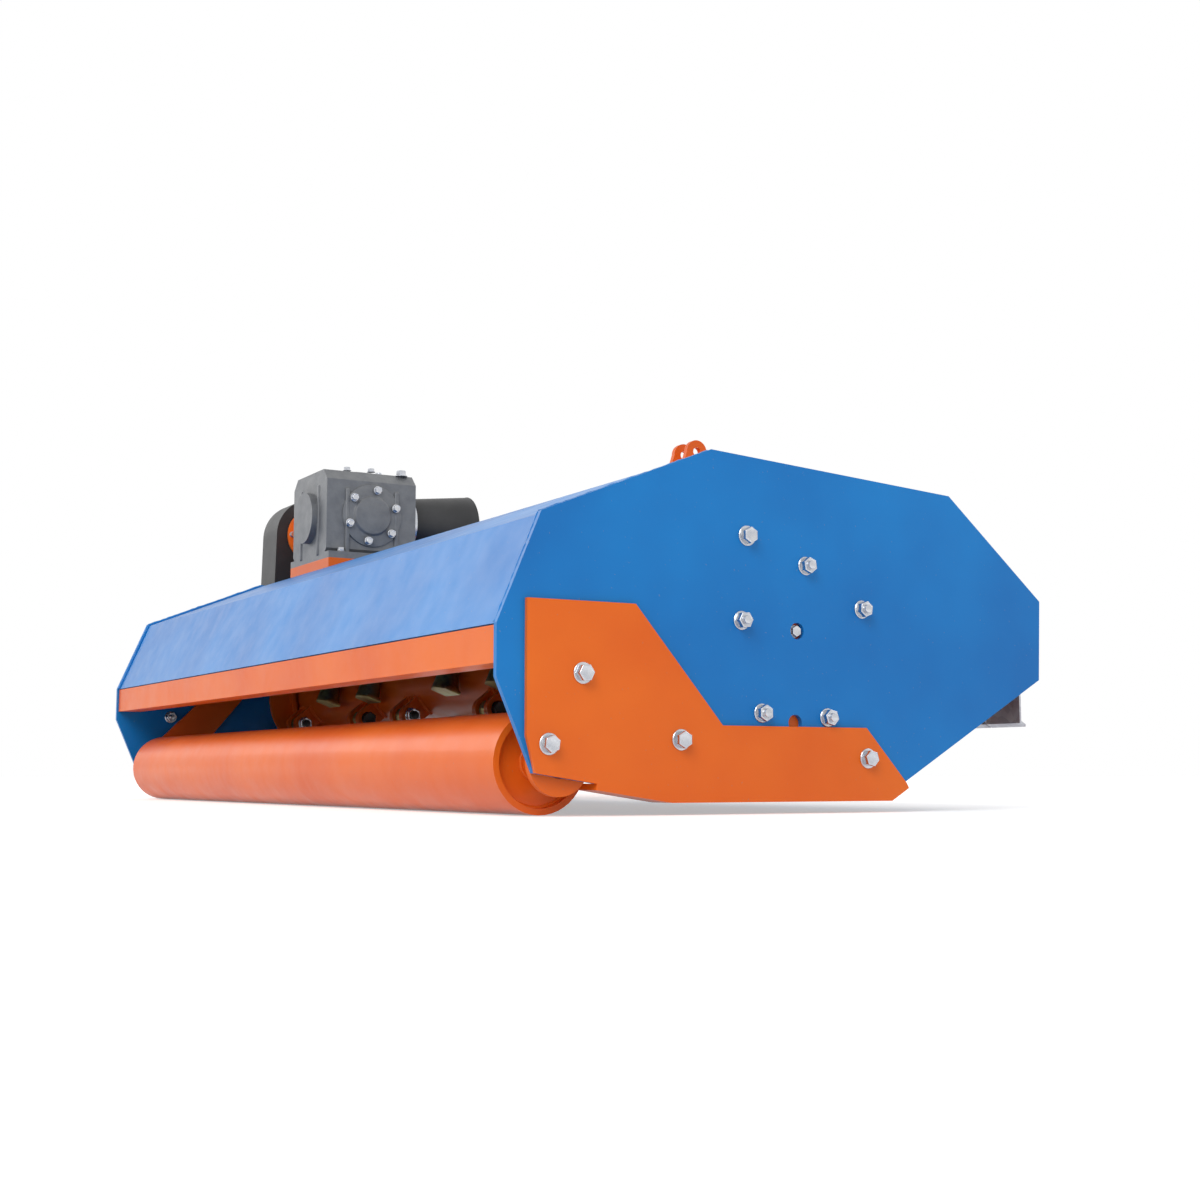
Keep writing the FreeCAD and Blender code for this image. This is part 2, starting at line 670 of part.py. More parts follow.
def roller():
    """The support roller: a tube with recessed ends on two stub axles."""
    half = s.inside_width / 2 - s.roller_short
    end = s.inside_width / 2 - 2
    bore = s.roller_radius - s.roller_wall
    line = [
        (-end, 0), (-end, s.axle_radius), (-half + 12, s.axle_radius), (-half + 12, bore), (-half, bore),
        (-half, s.roller_radius), (half, s.roller_radius), (half, bore), (half - 12, bore),
        (half - 12, s.axle_radius), (end, s.axle_radius), (end, 0),
    ]
    return keep("roller", revolved("roller", line, (deck_x, roller_y, roller_z)))


def roller_bracket(name, x):
    """A plate that carries a roller axle, with its adjusting tab above the rotor's flange."""
    rise = s.roller_drop + s.tab_up
    run = s.roller_back - s.tab_back
    slope = angle_between(run, rise)
    side_y = sine(slope)
    side_z = cosine(slope)
    big, small = s.bracket_big, s.bracket_small
    tab = deck(-s.tab_back, s.tab_up)
    outline = [
        (roller_y + big * side_y, roller_z - big * side_z), (tab[0] + small * side_y, tab[1] - small * side_z),
        (tab[0] - small * side_y, tab[1] + small * side_z), (roller_y - big * side_y, roller_z + big * side_z),
    ]
    arcs = {1: (tab[0], tab[1], True), 3: (roller_y, roller_z, True)}
    bore = s.axle_radius + s.run_clear
    holes = [(roller_y, roller_z, bore), (tab[0], tab[1], s.tab_hole)]
    return prism(name, "YZ_Plane", outline, s.bracket_thick, at=(x, 0, 0), holes=holes, arcs=arcs)


def roller_brackets():
    """The roller's two brackets, one against each end plate."""
    pieces = [
        roller_bracket("roller_bracket_left", left_inner),
        roller_bracket("roller_bracket_right", right_inner - s.bracket_thick),
    ]
    return keep("roller_brackets", group("roller_brackets", pieces))


# ---------------------------------------------------------------- front flaps

group_wide = (s.inside_width - 2 * s.group_gap - 2 * s.hook_thick) / 3
flap_y, flap_z = deck(s.rod_ahead, s.rod_up)


def group_start(index):
    """Left end of a group of flaps."""
    return left_inner + s.hook_thick + index * (group_wide + s.group_gap)


def flap_rod():
    """The rod through the flaps' eyes, with the hooks that hang it from the front beam."""
    rod = cylinder("flap_rod_bar", s.rod_radius, s.inside_width, (left_inner, flap_y, flap_z), X_AXIS)
    pieces = [rod]
    for index in range(4):
        x = left_inner if index == 0 else group_start(index) - s.group_gap / 2 - s.hook_thick / 2
        if index == 3:
            x = right_inner - s.hook_thick
        low = (x, flap_y - s.rod_radius, flap_z - s.rod_radius - 5)
        high = (x + s.hook_thick, flap_y + s.rod_radius, rotor_z + s.chamber_low)
        pieces.append(box(f"flap_hook_{index}", low, high))
    return keep("flap_rod", fuse("flap_rod", pieces))


def flap_group(name, index):
    """Eight hanging flaps side by side, each rolled round the rod and lipped at its foot."""
    wide = (group_wide - s.group_gap / 2) / s.flap_count - s.flap_gap
    low = -s.flap_long
    half = s.flap_thick / 2
    body = prism(f"{name}_blade", "YZ_Plane", [
        (-half, -s.eye_bore), (-half, low), (s.flap_lip, low - s.flap_lip / 2),
        (s.flap_lip, low - s.flap_lip / 2 + s.flap_thick * 1.2), (half, low + s.flap_thick * 1.2), (half, -s.eye_bore),
    ], wide)
    eye = cylinder(f"{name}_eye", s.eye_radius, wide, (0, 0, 0), X_AXIS)
    bore = cylinder(f"{name}_bore", s.eye_bore, wide + 2, (-1, 0, 0), X_AXIS)
    nodes_hidden[name] = cut(f"{name}_flap", fuse(f"{name}_rolled", [body, eye]), bore)
    start = group_start(index).value + s.group_gap.value / 4
    pitch = wide.value + s.flap_gap.value
    spots = []
    for i in range(int(s.flap_count.value)):
        spots.append(FreeCAD.Placement(Vector(start + i * pitch, flap_y.value, flap_z.value), FreeCAD.Rotation()))
    return copies(name, name, spots)


# ---------------------------------------------------------------- drive

gear_y = rotor_y + s.gear_ahead
gear_low = -s.gear_tall / 2


def gearbox():
    """The bevel gearbox: a cast block with round bearing necks towards the input and the belt drive."""
    half = s.gear_wide / 2
    back = gear_y - s.gear_deep / 2
    front = gear_y + s.gear_deep / 2
    edge = 22
    block = prism("gearbox_block", "XZ_Plane", [
        (-half + edge, gear_low), (half - edge, gear_low), (half, gear_low + edge), (half, -gear_low - edge),
        (half - edge, -gear_low), (-half + edge, -gear_low), (-half, -gear_low - edge), (-half, gear_low + edge),
    ], s.gear_deep - 30, at=(0, back + 15, 0))
    neck = cylinder("gearbox_neck", s.guard_small - 4, 30, (0, front - 15, 0), Y_AXIS)
    tail = cylinder("gearbox_tail", s.guard_small - 4, 15, (0, back, 0), Y_AXIS)
    side = cylinder("gearbox_side", s.shaft_tube_radius + 15, 20, (-half - 20, gear_y, 0), X_AXIS)
    feet = box("gearbox_feet", (-half - 15, back + 15, gear_low), (half + 15, front - 15, gear_low + 14))
    return keep("gearbox", fuse("gearbox", [block, neck, tail, side, feet]))


def gearbox_rails():
    """Two rails across the roof that carry the gearbox's feet."""
    half = s.gear_wide / 2 + 15
    rails = []
    for index, y in enumerate((gear_y - s.gear_deep / 2 + 15, gear_y + s.gear_deep / 2 - 15 - s.rail_wide)):
        roof_back = roof_height(y)
        roof_front = roof_height(y + s.rail_wide)
        line = [(y, roof_back), (y + s.rail_wide, roof_front), (y + s.rail_wide, gear_low), (y, gear_low)]
        rails.append(prism(f"gearbox_rail_{index}", "YZ_Plane", line, 2 * half, at=(-half, 0, 0)))
    tie_y = gear_y - s.gear_deep / 2 + 15 + s.rail_wide
    tie_end = gear_y + s.gear_deep / 2 - 15 - s.rail_wide
    tie = [(tie_y, gear_low - 12), (tie_end, gear_low - 12), (tie_end, gear_low), (tie_y, gear_low)]
    rails.append(prism("gearbox_rail_tie", "YZ_Plane", tie, 2 * half, at=(-half, 0, 0)))
    return keep("gearbox_rails", fuse("gearbox_rails", rails))


def roof_height(y):
    """Height of the roof's upper face at a place between its brow and its top fold."""
    crown = rotor_z + s.top_up - s.plate_proud
    brow = rotor_z + s.brow_up - s.plate_proud
    return crown + (brow - crown) * (y - rotor_y + s.top_back) / (s.brow_ahead - 2 + s.top_back)


def input_shaft():
    """The input stub that the drive shaft slides over."""
    front = s.input_long / 2
    start = gear_y + s.gear_deep / 2 + 15
    return keep("input_shaft", cylinder("input_shaft", s.input_radius, front - start, (0, start, 0), Y_AXIS))


def pto_guard():
    """The open-mouthed cone that shields the input stub."""
    start = gear_y + s.gear_deep / 2 - 12
    long = s.input_long / 2 + 8 - start
    outer = cone("pto_guard_outer", s.guard_small, s.guard_radius, long, (0, start, 0), Y_AXIS)
    small, wide = s.guard_small - s.guard_wall, s.guard_radius - s.guard_wall
    inner = cone("pto_guard_inner", small, wide, long + 0.2, (0, start - 0.1, 0), Y_AXIS)
    return keep("pto_guard", cut("pto_guard", outer, inner))


def cross_shaft_tube():
    """The tube from the gearbox to the belt cover."""
    start = left_inner - s.plate_thick - s.cover_gap
    end = -s.gear_wide / 2 - 20
    return keep("cross_shaft_tube", cylinder("cross_shaft_tube", s.shaft_tube_radius, end - start, (start, gear_y, 0), X_AXIS))


def belt_cover():
    """The closed belt cover on the left end: round about both pulleys, straight between."""
    low, top = s.cover_low_radius, s.cover_top_radius
    outline = [
        (rotor_y + low, rotor_z), (gear_y + top, 0), (gear_y - top, 0), (rotor_y - low, rotor_z),
    ]
    arcs = {1: (gear_y, 0, True), 3: (rotor_y, rotor_z, True)}
    outer_x = left_inner - s.plate_thick - s.cover_gap - s.cover_deep
    case = prism("belt_cover_case", "YZ_Plane", outline, s.cover_deep, at=(outer_x, 0, 0), arcs=arcs)
    mouth = s.cap_radius + 4
    room = cylinder("belt_cover_room", mouth, s.cap_deep + 8, (outer_x + s.cover_deep - s.cap_deep - 7, rotor_y, rotor_z), X_AXIS)
    shell = cut("belt_cover_shell", case, room)
    pads = []
    for index, (y, z) in enumerate((
        deck(-s.pad_side, -s.pad_low), deck(s.pad_side, -s.pad_low),
        deck(-s.pad_side, s.pad_high), deck(s.pad_front, s.pad_high),
    )):
        pads.append(cylinder(f"belt_cover_pad_{index}", s.pad_radius, s.cover_gap, (outer_x + s.cover_deep, y, z), X_AXIS))
    return keep("belt_cover", fuse("belt_cover", [shell] + pads))


# ---------------------------------------------------------------- tilt pivot and tilt cylinder's anchor


def tilt_bracket():
    """The deck's two cheeks with the bearing tube of the tilt pivot between them."""
    face = deck(s.face_ahead - s.plate_proud, s.face_up - 2)
    brow = deck(s.brow_ahead - 2, s.brow_up - s.plate_proud)
    rear_y = rotor_y + s.cheek_rear
    front_y = rotor_y + s.pivot_front
    line = [
        face, brow, (rear_y, roof_height(rear_y)), (rear_y, roof_height(rear_y) + s.cheek_edge),
        (rotor_y + s.pivot_back, pivot_z + s.cheek_edge), (front_y, pivot_z + s.cheek_edge),
        (front_y, pivot_z - s.pivot_tube), (face[0] + 20, face[1]),
    ]
    reach = s.pivot_tube - 4
    left_x = carrier_x - reach - s.cheek_thick
    back_y = rotor_y + s.pivot_back
    long = s.pivot_front - s.pivot_back
    pieces = [
        prism("tilt_cheek_left", "YZ_Plane", line, s.cheek_thick, at=(left_x, 0, 0)),
        prism("tilt_cheek_right", "YZ_Plane", line, s.cheek_thick, at=(carrier_x + reach, 0, 0)),
        cylinder("tilt_tube", s.pivot_tube, long, (carrier_x, back_y, pivot_z), Y_AXIS),
    ]
    bore = cylinder("tilt_bore", s.pivot_radius + s.run_clear, long + 4, (carrier_x, back_y - 2, pivot_z), Y_AXIS)
    return keep("tilt_bracket", cut("tilt_bracket", fuse("tilt_bracket_raw", pieces), bore))


base_lean = s.tilt_rest - 90 - s.horn_lean
horn_x = carrier_x - s.horn_up * sine(s.horn_lean)
horn_z = pivot_z + s.horn_up * cosine(s.horn_lean)
tilt_base_x = carrier_x + s.tilt_base * cosine(base_lean)
tilt_base_z = pivot_z - s.tilt_base * sine(base_lean)
tilt_plane_y = rotor_y + s.tilt_plane


def tilt_anchor():
    """The deck's forked lug, with its pin, for the foot of the tilt cylinder."""
    face = deck(s.face_ahead - s.plate_proud, s.face_up - 2)
    brow = deck(s.brow_ahead - 2, s.brow_up - s.plate_proud)
    ear = s.eye_outer + 6
    half = s.eye_half + s.pin_play
    rear_ear = tilt_plane_y - half - s.cheek_thick
    front_ear = tilt_plane_y + half
    low = tilt_base_z - ear - 10
    pieces = []
    for index, x in enumerate((tilt_base_x - ear, tilt_base_x + ear - s.cheek_thick)):
        gusset = [(face[0], low), face, brow, (rear_ear, tilt_base_z + ear / 2), (rear_ear, low)]
        pieces.append(prism(f"tilt_anchor_gusset_{index}", "YZ_Plane", gusset, s.cheek_thick, at=(x, 0, 0)))
    for index, y in enumerate((rear_ear, front_ear)):
        line = [
            (tilt_base_x - ear, low), (tilt_base_x + ear, low), (tilt_base_x + ear, tilt_base_z),
            (tilt_base_x - ear, tilt_base_z),
        ]
        arcs = {2: (tilt_base_x, tilt_base_z, True)}
        pieces.append(prism(f"tilt_anchor_ear_{index}", "XZ_Plane", line, s.cheek_thick, at=(0, y, 0), arcs=arcs))
    web_top = tilt_base_z - ear + 0
    web = box("tilt_anchor_web", (tilt_base_x - ear, face[0], low), (tilt_base_x + ear, front_ear + 1, web_top))
    long = 2 * half + 2 * s.cheek_thick + 4
    pin = cylinder("tilt_anchor_pin", s.cylinder_pin, long, (tilt_base_x, rear_ear - 4, tilt_base_z), Y_AXIS)
    return keep("tilt_anchor", fuse("tilt_anchor", pieces + [web, pin]))


# ---------------------------------------------------------------- carrier

face_y = rotor_y + s.pivot_front + s.carrier_gap
face_front = face_y + s.carrier_thick
yoke_low = arm_z - s.boss_tall / 2 - s.pin_play - s.lug_plate
yoke_high = arm_z + s.boss_tall / 2 + s.pin_play


def yoke_plate(name, centre_x, pin_y, low, root_y):
    """A flat plate from a root face to rounded corners about a pair of vertical pins."""
    half = s.arm_spacing / 2
    radius = s.boss_radius + 4
    left, right = centre_x - half, centre_x + half
    holes = [(left, pin_y, s.pin_radius), (right, pin_y, s.pin_radius)]
    if root_y.value < pin_y.value:
        end = pin_y + radius
        line = [(left - radius, root_y), (right + radius, root_y), (right + radius, pin_y), (right, end), (left, end),
                (left - radius, pin_y)]
        arcs = {2: (right, pin_y, True), 4: (left, pin_y, True)}
    else:
        end = pin_y - radius
        line = [(left - radius, pin_y), (left, end), (right, end), (right + radius, pin_y), (right + radius, root_y),
                (left - radius, root_y)]
        arcs = {0: (left, pin_y, True), 2: (right, pin_y, True)}
    return prism(name, "XY_Plane", line, s.lug_plate, at=(0, 0, low), holes=holes, arcs=arcs)


def carrier():
    """The upright the arms carry: face plate with the tilt horn, two yoke plates and a cylinder seat."""
    low = rotor_z + s.carrier_low
    shoulder = rotor_z + s.carrier_top
    half = s.carrier_half
    horn = s.eye_outer + 4
    line = [
        (carrier_x - half, low), (carrier_x + half, low), (carrier_x + half, yoke_high + 16),
        (carrier_x + s.horn_root, shoulder), (horn_x + horn, horn_z), (horn_x - horn, horn_z),
        (carrier_x - s.horn_root, shoulder), (carrier_x - half, yoke_high + 16),
    ]
    holes = [(horn_x, horn_z, s.cylinder_pin)]
    arcs = {4: (horn_x, horn_z, True)}
    seat_x = carrier_x + s.arm_spacing / 2 - s.shift_inset
    seat_top = shift_z - s.eye_half - s.seat_gap
    top = yoke_high + s.lug_plate
    pieces = [
        prism("carrier_face", "XZ_Plane", line, s.carrier_thick, at=(0, face_y, 0), holes=holes, arcs=arcs),
        yoke_plate("carrier_yoke_low", carrier_x, carrier_y, yoke_low, face_front - 1),
        yoke_plate("carrier_yoke_high", carrier_x, carrier_y, yoke_high, face_front - 1),
        cylinder("carrier_seat", s.seat_radius, seat_top - top + 2, (seat_x, carrier_y, top - 2)),
    ]
    for index, x in enumerate((carrier_x - half, carrier_x + half - s.cheek_thick)):
        rib = [(face_front - 1, low), (carrier_y, yoke_low + 1), (face_front - 1, yoke_low + 1)]
        pieces.append(prism(f"carrier_rib_{index}", "YZ_Plane", rib, s.cheek_thick, at=(x, 0, 0)))
    return keep("carrier", fuse("carrier", pieces))


def tilt_pin():
    """The big pin of the tilt pivot, with its nut behind the deck's tube."""
    start = rotor_y + s.pivot_back - s.nut_gap
    shaft = cylinder("tilt_pin_shaft", s.pivot_radius, face_y - start, (carrier_x, start, pivot_z), Y_AXIS)
    nut = cylinder("tilt_pin_nut", s.pivot_tube - 8, 16, (carrier_x, start, pivot_z), Y_AXIS)
    return keep("tilt_pin", fuse("tilt_pin", [shaft, nut]))


# ---------------------------------------------------------------- parallelogram


def stand_on_arm(obj, side):
    """Places a piece drawn along its own -Y on an arm's front pivot, at the arm's angle."""
    x = arms_head_x + side * s.arm_spacing / 2
    return place(obj, (x, head_y, arm_z), turn=s.arm_angle)


def arm(name, side):
    """A box-section arm with a boss at each end."""
    half = s.arm_wide / 2
    tall = s.arm_tall / 2
    inset = s.boss_radius - 6
    low = -s.boss_tall / 2
    tube = box(f"{name}_tube", (-half, inset - s.arm_long, -tall), (half, -inset, tall))
    bosses = [cylinder(f"{name}_boss_{i}", s.boss_radius, s.boss_tall, (0, y, low)) for i, y in enumerate((0, -s.arm_long))]
    bore = s.pin_radius + s.run_clear
    bores = [cylinder(f"{name}_bore_{i}", bore, s.boss_tall + 2, (0, y, low - 1)) for i, y in enumerate((0, -s.arm_long))]
    arm_solid = cut(name, fuse(f"{name}_raw", [tube] + bosses), fuse(f"{name}_bores", bores))
    return keep(name, stand_on_arm(arm_solid, side))


def arm_hoses():
    """The two pressure hoses clipped along the right arm, with their end fittings."""
    pieces = []
    top = s.arm_tall / 2 + s.hose_radius
    for index, x in enumerate((-s.hose_spacing / 2, s.hose_spacing / 2)):
        start = s.hose_end - s.arm_long
        bar = cylinder(f"arm_hose_{index}", s.hose_radius, s.arm_long - 2 * s.hose_end, (x, start, top), Y_AXIS)
        pieces.append(bar)
    hoses = group("arm_hoses", pieces)
    return keep("arm_hoses", stand_on_arm(hoses, 1))


def pivot_pins(name, centre_x, y):
    """A pair of headed vertical pins through the arms' yokes."""
    low = yoke_low - s.pin_tail
    long = yoke_high + s.lug_plate - low
    pieces = []
    for index, side in enumerate((-1, 1)):
        x = centre_x + side * s.arm_spacing / 2
        shaft = cylinder(f"{name}_shaft_{index}", s.pin_radius, long, (x, y, low))
        head = cylinder(f"{name}_head_{index}", s.pin_head, s.pin_head_tall, (x, y, low + long))
        pieces.append(fuse(f"{name}_{index}", [shaft, head]))
    return keep(name, group(name, pieces))


# ---------------------------------------------------------------- cylinders


def eye_cylinder(name, upright, x, radius, clear=0):
    """A round block across a cylinder's line, at x along it: an eye, or the tool for its bore."""
    half = s.eye_half + clear
    if upright:
        return cylinder(name, radius, 2 * half, (x, -half, 0), Y_AXIS)
    return cylinder(name, radius, 2 * half, (x, 0, -half))


def barrel_solid(name, upright, barrel_long):
    """A cylinder's barrel along its own +X, from its foot's eye to its open gland."""
    bore = s.rod_steel_radius + s.run_clear
    neck = s.eye_half - 2
    foot = s.eye_outer - 6
    deep = s.neck_long + s.blind_end
    line = [
        (foot, 0), (foot, neck), (s.neck_long, neck), (s.neck_long, s.barrel_radius - 4),
        (s.neck_long + 8, s.barrel_radius), (barrel_long - s.gland_long, s.barrel_radius),
        (barrel_long - s.gland_long, s.barrel_radius + 2), (barrel_long, s.barrel_radius + 2), (barrel_long, bore),
        (deep, bore), (deep, 0),
    ]
    tube = revolved(f"{name}_tube", line, (0, 0, 0))
    eye = eye_cylinder(f"{name}_eye", upright, 0, s.eye_outer)
    hole = eye_cylinder(f"{name}_hole", upright, 0, s.cylinder_pin + s.run_clear, 1)
    return cut(name, fuse(f"{name}_raw", [tube, eye]), hole)


def rod_solid(name, upright, length, stroke_in):
    """A cylinder's rod along its own +X, from inside the barrel, with room to slide in, to its eye."""
    start = s.neck_long + s.blind_end + stroke_in
    bar = cylinder(f"{name}_bar", s.rod_steel_radius, length - start - s.eye_outer + 6, (start, 0, 0), X_AXIS)
    eye = eye_cylinder(f"{name}_eye", upright, length, s.eye_outer)
    hole = eye_cylinder(f"{name}_hole", upright, length, s.cylinder_pin + s.run_clear, 1)
    return cut(name, fuse(f"{name}_raw", [bar, eye]), hole)


shift_z = rotor_z + s.shift_up
shift_reach = s.arm_spacing / 2 - s.shift_inset
shift_base_x = arms_head_x - shift_reach
shift_end_x = carrier_x + shift_reach


def shift_cylinder():
    """The sideways shift cylinder, lying across the parallelogram above the arms."""
    run = shift_end_x - shift_base_x
    rise = carrier_y - head_y
    turn = angle_between(run, rise)
    at = (shift_base_x, head_y, shift_z)
    keep("shift_barrel", place(barrel_solid("shift_barrel", False, s.shift_barrel_long), at, turn))
    keep("shift_rod", place(rod_solid("shift_rod", False, span(run, rise), s.shift_stroke_in), at, turn))


def tilt_cylinder():
    """The tilt cylinder, from the deck's anchor to the carrier's horn."""
    run = horn_x - tilt_base_x
    rise = horn_z - tilt_base_z
    turn = -angle_between(run, rise)
    at = (tilt_base_x, tilt_plane_y, tilt_base_z)
    keep("tilt_barrel", place(barrel_solid("tilt_barrel", True, s.tilt_barrel_long), at, turn, Y_AXIS))
    keep("tilt_rod", place(rod_solid("tilt_rod", True, span(run, rise), s.tilt_stroke_in), at, turn, Y_AXIS))


# ---------------------------------------------------------------- headstock

beam_back = head_y + s.beam_ahead
beam_front = beam_back + s.beam_deep
beam_low = arm_z - s.beam_tall / 2
beam_top = arm_z + s.beam_tall / 2


def head_beam():
    """The headstock's cross beam with the arms' front yokes and the shift cylinder's seat and pin."""
    top = yoke_high + s.lug_plate
    seat_top = shift_z - s.eye_half - s.pin_play
    low_x = arms_head_x - s.arm_spacing / 2 - s.boss_radius - 4
    high_x = arms_head_x + s.arm_spacing / 2 + s.boss_radius + 4
    pin_top = shift_z + s.eye_half + 10
    pieces = [
        box("head_beam_tube", (head_x - s.beam_left, beam_back, beam_low), (head_x + s.beam_right, beam_front, beam_top)),
        yoke_plate("head_yoke_low", arms_head_x, head_y, yoke_low, beam_back + 3),
        yoke_plate("head_yoke_high", arms_head_x, head_y, yoke_high, beam_back + 3),
        box("head_web", (low_x, beam_back - 8, yoke_low + 1), (high_x, beam_back + 1, top - 1)),
        cylinder("head_seat", s.seat_radius, seat_top - top + 2, (shift_base_x, head_y, top - 2)),
        cylinder("head_stub", s.cylinder_pin, pin_top - top, (shift_base_x, head_y, top)),
    ]
    return keep("head_beam", fuse("head_beam", pieces))


def head_arch():
    """The arch over the drive shaft: two legs and a round-shouldered top, in box section."""
    outer = s.arch_half
    thick = s.arch_thick
    bend = s.arch_bend
    small = bend - thick
    top = rotor_z + s.arch_top
    inner_top = top - thick
    low = beam_top
    line = [
        (head_x - outer, low), (head_x - outer + thick, low), (head_x - outer + thick, top - bend),
        (head_x - outer + bend, inner_top), (head_x + outer - bend, inner_top), (head_x + outer - thick, top - bend),
        (head_x + outer - thick, low), (head_x + outer, low), (head_x + outer, top - bend),
        (head_x + outer - bend, top), (head_x - outer + bend, top), (head_x - outer, top - bend),
    ]
    arcs = {
        2: (head_x - outer + bend, top - bend, False), 4: (head_x + outer - bend, top - bend, False),
        8: (head_x + outer - bend, top - bend, True), 10: (head_x - outer + bend, top - bend, True),
    }
    return keep("head_arch", prism("head_arch", "XZ_Plane", line, s.arch_deep, at=(0, beam_back + 5, 0), arcs=arcs))


hitch_y = beam_front + s.hitch_ahead - s.beam_deep
hitch_z = rotor_z + s.hitch_up


def hitch_plates():
    """The two plates ahead of the beam that hold the lower link pins."""
    outer = s.hitch_spacing / 2 - s.hitch_pin_long / 2
    line = [
        (beam_front, beam_low), (hitch_y, hitch_z - s.hitch_round), (hitch_y, hitch_z + s.hitch_round),
        (beam_front, beam_top + s.hitch_brow),
    ]
    arcs = {1: (hitch_y, hitch_z, True)}
    pieces = []
    for name, x in (("left", head_x - outer), ("right", head_x + outer - s.hitch_plate)):
        pieces.append(prism(f"hitch_plate_{name}", "YZ_Plane", line, s.hitch_plate, at=(x, 0, 0), arcs=arcs))
    return keep("hitch_plates", group("hitch_plates", pieces))


def hitch_pins():
    """The two lower link pins, pointing outwards, each with its nut inside the plate."""
    long = s.hitch_pin_long
    outer = s.hitch_spacing / 2 - long / 2
    pieces = []
    for name, x, nut_x in (
        ("left", head_x - outer - long, head_x - outer + s.hitch_plate),
        ("right", head_x + outer, head_x + outer - s.hitch_plate - s.nut_thick),
    ):
        pieces.append(cylinder(f"hitch_pin_{name}", s.hitch_pin_radius, long, (x, hitch_y, hitch_z), X_AXIS))
        pieces.append(cylinder(f"hitch_nut_{name}", s.nut_radius, s.nut_thick, (nut_x, hitch_y, hitch_z), X_AXIS))
    return keep("hitch_pins", group("hitch_pins", pieces))


def mast():
    """The top link mast: two plates from the arch, with the top link's bore."""
    pin_z = hitch_z + s.mast_up
    pin_y = beam_back + 5 + s.mast_ahead - s.arch_deep / 2
    back = beam_back + 5
    top = rotor_z + s.arch_top
    pieces = []
    for index, x in enumerate((head_x - s.mast_gap / 2 - s.mast_plate, head_x + s.mast_gap / 2)):
        line = [(back, top), (back + s.arch_deep, top), (pin_y + 34, pin_z), (pin_y - 34, pin_z)]
        pieces.append(prism(f"mast_plate_{index}", "YZ_Plane", line, s.mast_plate, at=(x, 0, 0),
                            holes=[(pin_y, pin_z, s.mast_bore)], arcs={2: (pin_y, pin_z, True)}))
    low_x = head_x - s.mast_gap / 2 - s.mast_plate
    pieces.append(box("mast_foot", (low_x, back, top), (head_x + s.mast_gap / 2 + s.mast_plate, back + s.arch_deep, top + 14)))
    return keep("mast", fuse("mast", pieces))


# ---------------------------------------------------------------- parking leg

leg_x = head_x + s.leg_right


def leg_sleeve():
    """The square sleeve on the beam's back in which the parking leg slides."""
    inner = s.leg_wide / 2 + 0.5
    outer = inner + s.sleeve_wall
    centre_y = beam_back - outer
    low = arm_z - s.sleeve_tall / 2
    tube = box("leg_sleeve_tube", (leg_x - outer, centre_y - outer, low), (leg_x + outer, centre_y + outer, low + s.sleeve_tall))
    hole = box("leg_sleeve_hole", (leg_x - inner, centre_y - inner, low - 1), (leg_x + inner, centre_y + inner, low + s.sleeve_tall + 1))
    return keep("leg_sleeve", cut("leg_sleeve", tube, hole))


def parking_leg():
    """The square parking leg with its foot plate on the floor."""
    half = s.leg_wide / 2
    centre_y = beam_back - half - 0.5 - s.sleeve_wall
    foot = s.foot_wide / 2
    post = box("parking_leg_post", (leg_x - half, centre_y - half, floor_z), (leg_x + half, centre_y + half, rotor_z + s.leg_top))
    plate = box("parking_leg_foot", (leg_x - foot, centre_y - foot, floor_z), (leg_x + foot, centre_y + foot, floor_z + s.foot_thick))
    return keep("parking_leg", fuse("parking_leg", [post, plate]))


# ---------------------------------------------------------------- assembly


def build():
    """Makes every sub-part in order."""
    side_plates()
    skid("skid_left", left_inner - s.plate_thick, 1)
    skid("skid_right", right_inner + s.plate_thick, -1)
    hood()
    front_beam()
    rear_bar()
    bearing_flange("bearing_flange_left", left_inner, -1, True)
    bearing_flange("bearing_flange_right", right_inner, 1, False)
    rotor_tube()
    hammers()
    hammer_pins()
    roller()
    roller_brackets()
    flap_rod()
    for index, name in enumerate(("flaps_left", "flaps_middle", "flaps_right")):
        flap_group(name, index)
    gearbox()
    gearbox_rails()
    input_shaft()
    pto_guard()
    cross_shaft_tube()
    belt_cover()
    tilt_bracket()
    tilt_anchor()
    carrier()
    tilt_pin()
    arm("arm_left", -1)
    arm("arm_right", 1)
    arm_hoses()
    pivot_pins("head_pins", arms_head_x, head_y)
    pivot_pins("carrier_pins", carrier_x, carrier_y)
    shift_cylinder()
    tilt_cylinder()
    head_beam()
    head_arch()
    hitch_plates()
    hitch_pins()
    mast()
    leg_sleeve()
    parking_leg()


def check_and_write():
    """Stops on a failed object, then writes each sub-part's solids to its own file."""
    doc.recompute()
    for obj in doc.Objects:
        if "Invalid" in obj.State or "Error" in obj.State:
            raise RuntimeError(f"{obj.Name} failed: {obj.State}")
    for name, obj in nodes.items():
        if obj.Shape.isNull() or not obj.Shape.isValid() or not obj.Shape.Solids:
            raise RuntimeError(f"{name} has no valid solid")
    os.makedirs("parts", exist_ok=True)
    for name, obj in nodes.items():
        obj.Shape.exportStep(f"parts/{name}.step")
        print(f"{name}: {len(obj.Shape.Solids)} solids, {obj.Shape.Volume / 1e6:.2f} litres")


build()
check_and_write()
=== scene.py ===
"""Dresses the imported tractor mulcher: finishes, fasteners, welds, forged hammers, hoses, light and camera."""
import json
import logging
import math
from collections.abc import Callable, Iterable, Iterator
from contextlib import contextmanager
from dataclasses import dataclass
from enum import Enum

import bmesh
import bpy
from mathutils import Matrix, Vector


